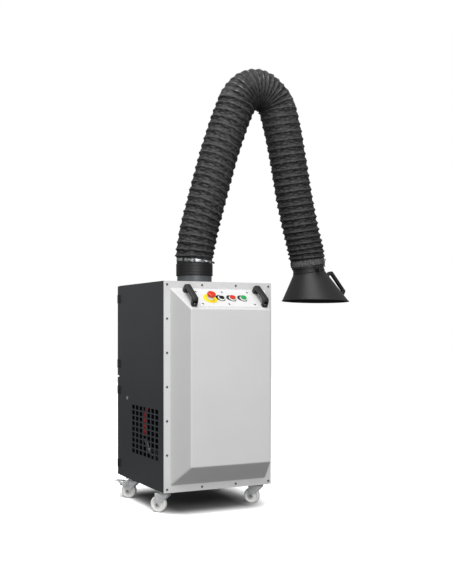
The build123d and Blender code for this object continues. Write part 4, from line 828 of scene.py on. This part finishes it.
# %% The gathered end of the cloth
PLEAT_LEAN, PLEAT_SEED = 0.009, 41


def gathered_ring(distance, radius, pleat):
    """A wavy ring about the neck: pleats of a few sines, leaning a little from ring to ring."""
    wave = waves(turn + PLEAT_LEAN * distance, 2 * np.pi / np.array([31, 47, 20, 13]), PLEAT_SEED)
    shift = waves(turn, 2 * np.pi / np.array([17, 11]), PLEAT_SEED + 2)
    return neck_ring(distance + 0.9 * pleat * shift[:, None], radius + pleat * wave[:, None])


over = [(-25.5, 86.6, 0.2), (-23.6, 88.6, 0.8), (-19.0, 89.3, 1.2), (-13.0, 89.0, 1.0),
        (-8.0, 89.6, 1.2), (-4.0, 89.0, 1.0), (0.0, 89.3, 1.2), (2.4, 88.9, 1.0), (3.6, 88.1, 0.6)]
under = [(3.3, 86.4, 0.1), (-1.0, 86.4, 0.0), (-6.0, 86.6, 0.0), (-7.0, 87.6, 0.0), (-23.0, 87.6, 0.0),
         (-24.6, 86.4, 0.0)]
rings = [gathered_ring(distance, radius, pleat) for distance, radius, pleat in over + under]
piece("gathered_cloth_end", "wrist", [(np.stack(rings), rubbed_cloth, True)], sharp=60.0)

# %% The strap end on the left of the neck
strap_side = unit(0.16 * NEAR + 0.98 * LEFT)
strap_out = unit(strap_side - neck_way * np.dot(strap_side, neck_way))
strap = slab(rounded_box_outline(9.0, 24.0, 2.0), neck_start + neck_way * 10.0, np.cross(neck_way, strap_out),
             neck_way, low=-89.4, high=-87.4, edge=0.4)
piece("strap_end", "wrist", [(strap, black_nylon)])

# %% [markdown]
# Under the hose a rubber cuff turns on the spigot, a short pipe whose flange is
# held to the roof by six screws. Both are round, so each is one profile turned
# about the upright axis, and the cuff's grooves are three dips in its profile.

# %% The rubber cuff that turns on the spigot
CUFF_LOW, CUFF_HIGH = 1091.3, 1148.3
grooves = [(84.1, CUFF_LOW), (88.6, CUFF_LOW), (89.0, CUFF_LOW + 1.5)]
for height in (13.0, 27.0, 41.0):
    at = CUFF_LOW + height
    grooves += [(89.0, at - 1.4), (88.5, at - 0.7), (88.5, at + 0.7), (89.0, at + 1.4)]
grooves += [(89.0, CUFF_HIGH - 1.5), (88.6, CUFF_HIGH), (84.1, CUFF_HIGH)]
axis_foot = np.array([0.0, ARM_Y, 0.0])
cuff = turned(eased(grooves, 0.7, 3), axis_foot, up, 144)
piece("cuff_rubber_ring", "turret", [(cuff, cuff_rubber, True)], ("swivel_cuff",))

# %% The spigot on the roof, with its screws
CASE_TOP = 1050.0
FLANGE, SCREW_CIRCLE = 3.0, 95.0
pipe_profile = [(82.0, -20.0), (84.0, -20.0), (84.0, -0.2), (104.0, 0.0), (105.0, 0.6), (105.0, FLANGE - 0.6),
                (104.2, FLANGE), (87.0, FLANGE), (84.0, 6.0), (84.0, 41.0), (82.0, 41.0)]
pipe = eased(np.array(pipe_profile) + np.array([0.0, CASE_TOP]), 1.2, 3)
screw_places = [axis_foot + SCREW_CIRCLE * np.array([math.cos(a), math.sin(a), 0.0])
                for a in np.radians(np.arange(0, 360, 60))]


def pan_head(seat, way, radius, height):
    """A low domed screw head on its seat."""
    profile = eased([(0.0, 0.0), (radius, 0.0), (radius, height * 0.45), (radius * 0.72, height * 0.95),
                     (0.0, height)], height * 0.4, 3)
    return turned(profile, seat, way, 24)


screws = [(pan_head(place + up * (CASE_TOP + FLANGE), up, 5.0, 3.0), screw_steel) for place in screw_places]
piece("spigot_pipe", "case", [(turned(pipe, axis_foot, up, 144), spigot_grey, True)] + screws,
      ("hose_spigot",))

# %% [markdown]
# ## Handles
#
# All three handles are moulded bridges of black nylon. Their section changes
# from a deep foot to a slim bar, so each is a stack of rings that runs from an
# outer line to an inner line. The two lifting handles have a pocket over each
# screw, which is cut out afterwards with a rounded box.


# %% Bridge handles
def bridge_grip(place, way, out, side, length, rise, bar, foot, width, bevel, sink=0.0):
    """Rounded rectangles as wide as the handle: (outer + inner) / 2 + section * (outer - inner)."""
    outer = eased([(0, -sink), (bevel / 2, rise * 2 / 3), (bevel * 2, rise), (length - bevel * 2, rise),
                   (length - bevel / 2, rise * 2 / 3), (length, -sink)], 4.0, 5)
    inner = eased([(foot, -sink), (foot, rise - bar - bevel), (foot + bevel, rise - bar),
                   (length - foot - bevel, rise - bar), (length - foot, rise - bar - bevel),
                   (length - foot, -sink)], 4.0, 5)
    ring = squircle(width, 1.0, 5.0, 36)
    flat = (outer + inner)[:, None] / 2 + ring[None, :, 1:] * (outer - inner)[:, None]
    grid = place + flat[..., :1] * way + flat[..., 1:] * out + ring[None, :, :1] * side
    start, end = (np.repeat(row.mean(0)[None], len(ring), 0)[None] for row in (grid[0], grid[-1]))
    return np.concatenate([start, grid, end])


def pierced(item, cutters):
    """Cut each grid's shape out of an object."""
    holes = piece(item.name + "_cutter", "case", [(grid, black_nylon) for grid in cutters])
    cut = item.modifiers.new("cut", "BOOLEAN")
    cut.operation, cut.solver, cut.object = "DIFFERENCE", "EXACT", holes
    shape = item.evaluated_get(bpy.context.evaluated_depsgraph_get())
    item.data = bpy.data.meshes.new_from_object(shape)
    item.modifiers.clear()
    bpy.data.objects.remove(holes)
    print(item.name, "after cutting:", len(item.data.polygons), "faces")


# %% Points on the sloping plate
SLOPE = math.atan2(95.0, 130.0)
SLOPE_TOP = np.array([0.0, -300.0, 1018.0])
slope_out = np.array([0.0, -math.sin(SLOPE), math.cos(SLOPE)])
slope_down = np.array([0.0, -math.cos(SLOPE), -math.sin(SLOPE)])
slope_right = np.array([1.0, 0.0, 0.0])


def on_slope(x, down, height=0.0):
    """A point on the front's upper slope: x to the right, down from its top edge, and height out of it."""
    return SLOPE_TOP + x * slope_right + down * slope_down + height * slope_out


print("slope in degrees:", round(math.degrees(SLOPE), 1))

# %% The two lifting handles
LIFT_START, LIFT_LENGTH = 12.0, 134.0
LIFT_SIDE, SCREW_INSET = 177.0, 11.0
grips, pockets, bolts = [], [], []
for x in (-LIFT_SIDE, LIFT_SIDE):
    grip = bridge_grip(on_slope(x, LIFT_START), slope_down, slope_out, slope_right, length=LIFT_LENGTH,
                       rise=40.0, bar=14.0, foot=24.0, width=27.0, bevel=6.0)
    grips.append((grip, black_nylon))
    for down, low, high in ((LIFT_START, -19.0, 14.0), (LIFT_START + LIFT_LENGTH, -14.0, 19.0)):
        pockets.append(slab(rounded_box_outline(17.0, 21.0, 3.0), on_slope(x, down, 19.5), slope_out,
                            slope_right, low, high, edge=0.5))
    for down in (LIFT_START + SCREW_INSET, LIFT_START + LIFT_LENGTH - SCREW_INSET):
        bolts.append((pan_head(on_slope(x, down, 9.0), slope_out, 5.6, 4.0), zinc_plate))
lift = piece("lift_grips", "case", grips, ("lift_handles",), 40.0)
pierced(lift, pockets)
piece("lift_bolts", "case", bolts)

# %% The handle along the hood's cone
grip_high = neck_end + neck_side * THROAT
grip_way = unit(rim_centre + rim_side * RIM - grip_high)
grip_out = np.array([-grip_way[2], 0.0, grip_way[0]])
hood_grip = bridge_grip(grip_high + grip_way * 29.0, grip_way, grip_out, ACROSS, length=155.0, rise=45.0,
                        bar=16.0, foot=20.0, width=22.0, bevel=6.0, sink=1.2)
piece("hood_grip", "hood", [(hood_grip, black_nylon)], ("hood_handle",), 40.0)

# %% [markdown]
# The damper is a steel disc on a spindle across the hood's neck. A knob with a
# wing turns it from outside, and the wing lies in line with the disc.

# %% Damper disc, spindle and knob
damper_middle = neck_start + neck_way * 23.0
front_way = -ACROSS
across_neck = unit(np.cross(ACROSS, neck_way))
DISC, SPINDLE, SPINDLE_END, KNOB = 70.0, 4.0, -79.4, THROAT + 11.1
disc = turned(eased([(0, -1.0), (DISC, -1.0), (DISC, 1.0), (0, 1.0)], 0.6, 2), damper_middle, across_neck, 96)
spindle = turned([(0, SPINDLE_END), (SPINDLE, SPINDLE_END), (SPINDLE, KNOB), (0, KNOB)], damper_middle,
                 front_way, 24)
boss = turned(eased([(0, THROAT + 0.2), (7.0, THROAT + 0.2), (7.0, KNOB), (0, KNOB)], 1.0, 3), damper_middle,
              front_way, 40)
knob_profile = [(0, KNOB), (13.5, KNOB), (13.5, KNOB + 5.2), (12.0, KNOB + 7.8), (0, KNOB + 8.0)]
knob = turned(eased(knob_profile, 1.6, 4), damper_middle, front_way, 48)
wing = slab(rounded_box_outline(34.0, 8.0, 3.9), damper_middle + front_way * KNOB, neck_way,
            unit(np.cross(front_way, neck_way)), low=0.0, high=16.0, edge=1.6, steps=4)
piece("damper_flap", "damper", [(disc, arm_black), (spindle, zinc_plate), (boss, zinc_plate),
                                (knob, polished_black), (wing, black_nylon)], ("damper",))

# %% [markdown]
# ## Controls
#
# Four control heads stand in a row on the sloping plate. The emergency stop has
# a pale collar and a red mushroom on a yellow ring. The others, a selector, a
# red button and a green one, have a white rim and a black crescent behind it,
# which is a disc set a little to the left and above. All but the selector's
# lever are round, so they are profiles turned about axes square to the slope.

# %% Collars and rims
ROW = 83.0
ESTOP, SELECTOR, STOP, START = -78.0, -22.0, 33.0, 89.0
PLATE, SEAT = 2.0, 3.5


def head_ring(x, profile, steps=64, easing=0.6):
    """A ring turned about a control's own axis."""
    return turned(eased(profile, easing, 3), on_slope(x, ROW), slope_out, steps)


rim = [(9.7, SEAT), (16.9, SEAT), (17.5, SEAT + 0.8), (17.5, SEAT + 3.4), (15.8, SEAT + 5.0),
       (12.0, SEAT + 5.0), (9.7, SEAT + 4.0)]
collar = [(9.7, 4.0), (16.5, 4.0), (16.5, 7.0), (15.0, 9.0), (14.5, 13.2), (13.4, 14.6), (9.7, 14.6)]
bezels = [(head_ring(x, rim), bezel_white, True) for x in (SELECTOR, STOP, START)]
bezels.append((head_ring(ESTOP, collar), bezel_white, True))
piece("control_rims", "case", bezels, ("control_bezels",))

# %% Washers under the plate's screws
washer = eased([(4.2, PLATE), (6.6, PLATE), (6.6, PLATE + 0.8), (4.2, PLATE + 1.0)], 0.2, 2)
washers = [(turned(washer, on_slope(x, down), slope_out, 32), zinc_plate, True)
           for x in (-131.0, 0.0, 131.0) for down in (31.0, 127.0)]
piece("plate_washers", "case", washers)

# %% Black crescents behind the rims
ASIDE, ABOVE = 8.5, 6.0
disc_profile = eased([(0.0, PLATE + 0.05), (18.0, PLATE + 0.05), (18.0, PLATE + 3.6), (16.6, PLATE + 4.6),
                      (0.0, PLATE + 4.6)], 0.7, 3)
# A polished black disc, set a little to the left of and above each rim, shows only as a crescent behind it.
crescents = [(turned(disc_profile, on_slope(x - ASIDE, ROW - ABOVE), slope_out, 48), polished_black)
             for x in (SELECTOR, STOP, START)]
piece("black_crescent_discs", "case", crescents)

# %% The emergency stop
yellow = [(11.3, PLATE), (33.4, PLATE), (34.0, PLATE + 0.6), (34.0, PLATE + 1.4), (33.2, PLATE + 2.0),
          (11.3, PLATE + 2.0)]
piece("yellow_ring", "case", [(head_ring(ESTOP, yellow, 96, 0.4), yellow_plate, True)], ("estop_ring",))
mushroom = [(0, 12.0), (9.4, 12.0), (9.4, 19.0), (13.0, 19.3), (19.2, 20.3), (20.0, 22.4), (20.0, 27.6),
            (18.8, 31.2), (14.5, 32.8), (6.0, 33.2), (0, 33.3)]
piece("mushroom", "estop_button", [(head_ring(ESTOP, mushroom, 72, 1.6), stop_red)], ("estop_button",),
      50.0)

# %% The stop and start buttons
for name, x, paint, slot in (("stop_cap", STOP, stop_red, "red_plastic"),
                             ("start_cap", START, start_green, "green_plastic")):
    piece(name, name.replace("cap", "button"),
          [(head_ring(x, [(0, PLATE), (9.4, PLATE), (9.4, SEAT + 8.3), (13.3, SEAT + 8.3), (14.0, SEAT + 9.0),
                          (14.0, SEAT + 10.2), (13.0, SEAT + 11.2), (0, SEAT + 11.3)], 56), paint)],
          (name.replace("cap", "button"),))

# %% The selector and its lever
LEVER_LOW = SEAT + 5.3
LEVER_TOP = LEVER_LOW + 14.0
dial = head_ring(SELECTOR, [(0, PLATE), (9.4, PLATE), (9.4, LEVER_LOW), (13.0, LEVER_LOW),
                            (13.0, LEVER_LOW + 2.0), (12.0, LEVER_LOW + 3.0), (0, LEVER_LOW + 3.0)], 56)
lever = slab(rounded_box_outline(27.0, 8.0, 3.0), on_slope(SELECTOR, ROW), slope_down, -slope_right,
             LEVER_LOW, LEVER_TOP, edge=1.6, steps=4)
mark = slab(rounded_box_outline(9.0, 2.0, 0.9), on_slope(SELECTOR, ROW - 7.0), slope_down, -slope_right,
            LEVER_TOP - 0.4, LEVER_TOP + 0.3, edge=0.2, steps=2)
piece("selector_lever", "selector_knob",
      [(dial, polished_black), (lever, polished_black), (mark, bezel_white)],
      ("selector_knob",))

# %% [markdown]
# ## Castors
#
# Each castor is pressed from zinc plated steel: a fork of a crown and two legs
# that swivels under a round bearing and a top plate. The bearing's balls can't
# be seen and are left out. The wheel is turned from white nylon, and the rear
# pair have a brake pedal. Three functions make the fork, wheel and pedal about
# the kingpin, and a loop puts them at the four corners.

# %% Measures of a castor, from its kingpin and the floor
WHEEL, TRAIL, CROWN, PLATE_LOW = 37.5, 30.0, 85.5, 97.5
LEG_SIDE, STRIP, PEDAL_PIN = 17.25, 2.5, (64.0, 69.0)
TRAIL_ANGLE = math.radians(133.0)
TRAIL_WAY = np.array([math.cos(TRAIL_ANGLE), math.sin(TRAIL_ANGLE), 0.0])
CROSS_WAY = np.cross(up, TRAIL_WAY)
print("the wheels trail towards:", TRAIL_WAY.round(3))


def arc(centre, radius, start, end, steps=8):
    """Points round part of a circle, from one angle to another in degrees: centre + radius * (cos, sin)."""
    angle = np.radians(np.linspace(start, end, steps))
    return (np.array(centre) + radius * np.stack([np.cos(angle), np.sin(angle)], -1)).tolist()


# %% The fork, with its axle
def castor_fork(foot, braked):
    """A crown disc with two pressed legs, an axle, and on a braked one two ears for the pedal."""
    axle = foot + TRAIL_WAY * TRAIL + up * WHEEL
    disc = eased([(0, CROWN), (27.5, CROWN), (29.0, CROWN + 1.2), (27.5, CROWN + 3.0), (24.0, CROWN + 3.4),
                  (0, CROWN + 3.4)], 1.2, 3)
    parts = [(turned(disc, foot, up, 56), zinc_plate)]
    crown = rounded_box_outline(67.0, 37.0, 5.0) + np.array([9.5, 0.0])
    parts.append((slab(crown, foot, TRAIL_WAY, CROSS_WAY, CROWN, CROWN + 3.0, edge=1.2), zinc_plate))
    leg = [(-23.0, CROWN + 2.4), (-22.0, 79.0), (14.0, 44.0)] + arc((TRAIL, WHEEL), 13.0, 165.0, 360.0, 14)
    leg += [(43.0, 60.0), (43.0, CROWN + 2.4)]
    ear = [(20.0, CROWN + 1.0), (50.0, 84.0)] + arc(PEDAL_PIN, 7.0, 75.0, -60.0)
    ear += [(44.0, 56.0), (20.0, 50.0)]
    nut = eased([(0, 18.5), (7.6, 18.5), (7.6, 19.2), (6.8, 19.2), (6.8, 22.0), (5.6, 22.6),
                 (0, 22.6)], 0.4, 2)
    for side in (-1, 1):
        flat = foot + CROSS_WAY * (side * LEG_SIDE)
        parts.append((slab(leg, flat, TRAIL_WAY, up, -STRIP / 2, STRIP / 2, edge=0.9), zinc_plate))
        if braked:
            parts.append((slab(ear, flat, TRAIL_WAY, up, -STRIP / 2, STRIP / 2, edge=0.9), zinc_plate))
        parts.append((turned(nut, axle, CROSS_WAY * side, 6 if side > 0 else 24), stainless))
    parts.append((turned([(0, -18.0), (4.0, -18.0), (4.0, 18.0), (0, 18.0)], axle, CROSS_WAY, 24), stainless))
    return parts


# %% The wheel and the pedal
def castor_wheel(foot):
    """A turned wheel: a tread with round edges, thin webs with a step, and a hub."""
    half = [(4.1, 15.4), (11.5, 15.4), (13.0, 14.0), (13.4, 7.0), (15.5, 5.2), (26.0, 5.0), (28.4, 7.5),
            (28.8, 12.0), (34.0, 12.0), (WHEEL, 8.6)]
    profile = eased(half + [(r, -h) for r, h in reversed(half)], 1.4, 3)
    return [(turned(profile, foot + TRAIL_WAY * TRAIL + up * WHEEL, CROSS_WAY, 96), wheel_nylon, True)]


def castor_pedal(foot):
    """A tread plate with two ears on a pin."""
    tread = rounded_box_outline(45.5, 42.0, 7.0) + np.array([83.0, 0.0])
    ear = arc(PEDAL_PIN, 7.0, 180.0, 360.0, 12) + [(85.0, 84.5), (60.5, 84.5)]
    parts = [(slab(tread, foot, TRAIL_WAY, CROSS_WAY, 83.0, 85.5, edge=0.9), zinc_plate)]
    for side in (-1, 1):
        flat = foot + CROSS_WAY * (side * 20.0)
        parts.append((slab(ear, flat, TRAIL_WAY, up, -1.0, 1.0, edge=0.6), zinc_plate))
    rivet = eased([(0, -22.0), (4.2, -22.0), (4.2, -20.9), (3.0, -20.9), (3.0, 20.9), (4.2, 20.9),
                   (4.2, 22.0), (0, 22.0)], 0.3, 2)
    pin = turned(rivet, foot + TRAIL_WAY * PEDAL_PIN[0] + up * PEDAL_PIN[1], CROSS_WAY, 20)
    return parts + [(pin, stainless)]


# %% Four castors under the case
race = eased([(0, 89.3), (20.0, 89.3), (24.0, 91.5), (24.0, 94.5), (21.0, PLATE_LOW), (0, PLATE_LOW)], 1.2, 3)
bolt = eased([(0, 92.5), (5.6, 92.5), (6.5, 93.3), (6.5, PLATE_LOW), (0, PLATE_LOW)], 0.3, 2)
plates = []
for corner, x, y in (("front_left", -241.0, -232.0), ("front_right", 241.0, -232.0),
                     ("rear_left", -241.0, 150.0), ("rear_right", 241.0, 150.0)):
    foot = np.array([x, y, 0.0])
    braked = corner.startswith("rear")
    fork, wheel, pedal = corner + "_fork", corner + "_wheel", corner + "_pedal"
    piece(fork + "_steel", fork, castor_fork(foot, braked), (fork,))
    piece(wheel + "_nylon", wheel, castor_wheel(foot), (wheel,))
    if braked:
        piece(pedal + "_steel", pedal, castor_pedal(foot), (pedal,))
    plates.append((slab(rounded_box_outline(68.0, 92.0, 6.0), foot, slope_right, ACROSS, PLATE_LOW, 100.0,
                        edge=0.7), zinc_plate))
    plates.append((turned(race, foot, up, 48), zinc_plate))
    for dx in (-25.0, 25.0):
        for dy in (-37.0, 37.0):
            plates.append((turned(bolt, foot + dx * slope_right + dy * ACROSS, up, 6), stainless))
piece("castor_top_plates", "case", plates, ("castor_plates",))

# %% [markdown]
# ## Inside the case
#
# Sponge rubber strips seal the doors. They are extruded with a round face that
# the door squeezes, and run round each opening with bent corners. Behind the
# grille the rim of the fan's housing shows through the slots, red on one stretch
# and bare on the next. Each stretch is a strip swept round part of a circle.


# %% Door seals
SEAL_Y, SEAL_WIDTH, SEAL_MARGIN = 283.0, 520.0, 30.0


def seal_ring(low, high):
    """A strip with a domed face, carried round a rectangle with round corners."""
    middle = np.array([0.0, SEAL_Y, (low + high) / 2])
    outline = rounded_box_outline(SEAL_WIDTH, high - low - SEAL_MARGIN, 12.0, 8)
    path = middle + outline[:, :1] * slope_right + outline[:, 1:] * up
    inward = unit(drawn_in(outline, 1.0) - outline)
    inward = inward[:, :1] * slope_right + inward[:, 1:] * up
    ring = eased([(-4.8, 5.0), (-5.0, -1.5), (-3.6, -4.4), (0.0, -5.0), (3.6, -4.4), (5.0, -1.5),
                  (4.8, 5.0)], 1.2, 2)
    return path[:, None] + ring[None, :, :1] * inward[:, None] + ring[None, :, 1:] * ACROSS


seals = [(seal_ring(low, high), seal_rubber, True) for low, high in ((102.0, 591.5), (600.5, 1048.0))]
piece("sponge_seals", "case", seals, ("door_seals",), 50.0)

# %% The fan housing's rim behind the grille
SCROLL_X, SCROLL_Y, SCROLL_Z, SCROLL_RADIUS = -259.0, -164.0, 375.0, 135.0


def housing_rim(start, end):
    """A strip swept round part of a circle beside the grille, from one angle to another in degrees."""
    around = np.radians(np.linspace(start, end, 24))
    path = np.stack([np.full(24, SCROLL_X), SCROLL_Y + SCROLL_RADIUS * np.cos(around),
                     SCROLL_Z + SCROLL_RADIUS * np.sin(around)], -1)
    return swept(path, squircle(36.0, 3.0, 6.0, 16), ACROSS)


piece("red_rim", "case", [(housing_rim(-20.0, 43.0), fan_red)])
piece("bare_rim", "case", [(housing_rim(-72.0, -27.0), galvanised)])

# %% [markdown]
# ## Light, floor and camera
#
# The picture has white surroundings and soft shadows. Four square lamps make
# them, in front, above, to the left and low down, and a white world fills in
# the rest. To all rays but the camera's the floor is one grey. The camera sees
# it at a low tone near the case, a painted shadow that deepens the real one,
# and whitening away from the case, by a tone set far above what a real floor
# gives back, so the shadow's edges fade out without more light. The camera
# stands level, left of the front, and its lens is shifted up instead of the
# camera being tilted, so upright edges stay upright.

# %% The floor, which whitens away from the case
# Painted shadow: near the case the camera sees the floor at a tone of 0.22, rising to 4.0 over 0.3 m beyond a
# small box under the case.
FLOOR_TONE, PAINTED_SHADOW_TONE, FLOOR_SHOWN = 0.23, 0.22, 4.0
PAINTED_SHADOW_HALF, FADE, FLOOR_HALF = (0.15, 0.2, 0.0), 0.3, 9000.0
floor_paint = bpy.data.materials.new("white studio floor")
floor_paint.use_nodes = True
floor_tree = floor_paint.node_tree
floor_tree.nodes.clear()
ray = add(floor_tree, "ShaderNodeLightPath")
place = add(floor_tree, "ShaderNodeTexCoord").outputs["Object"]
aside = add(floor_tree, "ShaderNodeVectorMath", {0: place}, operation="ABSOLUTE").outputs["Vector"]
past = add(floor_tree, "ShaderNodeVectorMath", {0: aside, 1: PAINTED_SHADOW_HALF}, operation="SUBTRACT")
beyond = add(floor_tree, "ShaderNodeVectorMath", {0: past.outputs["Vector"], 1: (0, 0, 0)},
             operation="MAXIMUM")
away = add(floor_tree, "ShaderNodeVectorMath", {0: beyond.outputs["Vector"]}, operation="LENGTH")
whitened = add(floor_tree, "ShaderNodeMapRange",
               {"Value": away.outputs["Value"], "From Min": 0.0, "From Max": FADE, "To Min": PAINTED_SHADOW_TONE,
                "To Max": FLOOR_SHOWN}, interpolation_type="SMOOTHSTEP").outputs["Result"]
seen = add(floor_tree, "ShaderNodeMapRange",
           {"Value": ray.outputs["Is Camera Ray"], "To Min": FLOOR_TONE, "To Max": whitened})
paint = add(floor_tree, "ShaderNodeBsdfDiffuse", {"Color": seen.outputs["Result"]})
add(floor_tree, "ShaderNodeOutputMaterial", {"Surface": paint.outputs["BSDF"]})
square = FLOOR_HALF * np.array([[-1, -1, 0], [1, -1, 0], [1, 1, 0], [-1, 1, 0]], float)
floor_mesh = new_mesh("studio_floor", square, np.array([[0, 1, 2, 3]]), np.zeros(1))
floor_mesh.materials.append(floor_paint)
floor = bpy.data.objects.new("studio_floor", floor_mesh)
bpy.context.collection.objects.link(floor)
print("floor in metres:", 2 * FLOOR_HALF / 1000)

# %% The white surroundings
WORLD_LIGHT = 0.36
world = bpy.data.worlds.new("white studio")
bpy.context.scene.world = world
world.use_nodes = True
world_tree = world.node_tree
ground = world_tree.nodes["Background"]
ground.inputs["Color"].default_value = (1, 1, 1, 1)
sight = add(world_tree, "ShaderNodeLightPath")
strength = add(world_tree, "ShaderNodeMapRange",
               {"Value": sight.outputs["Is Camera Ray"], "To Min": WORLD_LIGHT, "To Max": 1.0})
world_tree.links.new(strength.outputs["Result"], ground.inputs["Strength"])
print("the world lights the case at", WORLD_LIGHT, "and is shown at 1")


# %% Soft lamps
def lamp(name, place, aim, size, watts):
    """A square area lamp at a place in metres, turned so that it faces its aim."""
    light = bpy.data.lights.new(name, "AREA")
    light.shape, light.size, light.energy = "SQUARE", size, watts
    item = bpy.data.objects.new(name, light)
    bpy.context.collection.objects.link(item)
    item.location = place
    item.rotation_euler = (Vector(aim) - Vector(place)).to_track_quat("-Z", "Y").to_euler()
    print(name, "watts:", watts)


lamp("front softbox", (-1.0, -5.0, 3.2), (0, 0, 0.9), size=2.6, watts=174)
lamp("top softbox", (-0.6, -0.8, 4.6), (0.1, 0, 1.0), size=2.4, watts=90)
lamp("left softbox", (-4.5, -1.5, 2.4), (0, 0, 1.2), size=1.8, watts=20)
lamp("low fill", (-1.7, -3.2, 0.4), (-0.1, -0.2, 0.1), size=0.8, watts=14)

# %% The camera
SENSOR_MM, LENS_MM, LENS_RISE = 36.0, 55.39, 0.0604
CAMERA_PLACE, CAMERA_TURN = (-1.82838, -4.00548, 0.84177), -26.71
scene = bpy.context.scene
lens = bpy.data.cameras.new("level camera")
lens.sensor_width = SENSOR_MM
lens.lens = LENS_MM
lens.shift_y = LENS_RISE
camera = bpy.data.objects.new("level camera", lens)
bpy.context.collection.objects.link(camera)
camera.location = CAMERA_PLACE
camera.rotation_euler = (math.radians(90), 0, math.radians(CAMERA_TURN))
scene.camera = camera
scene.view_settings.view_transform = "Standard"
print("camera in metres from the middle:", round(math.hypot(*CAMERA_PLACE[:2]), 2))
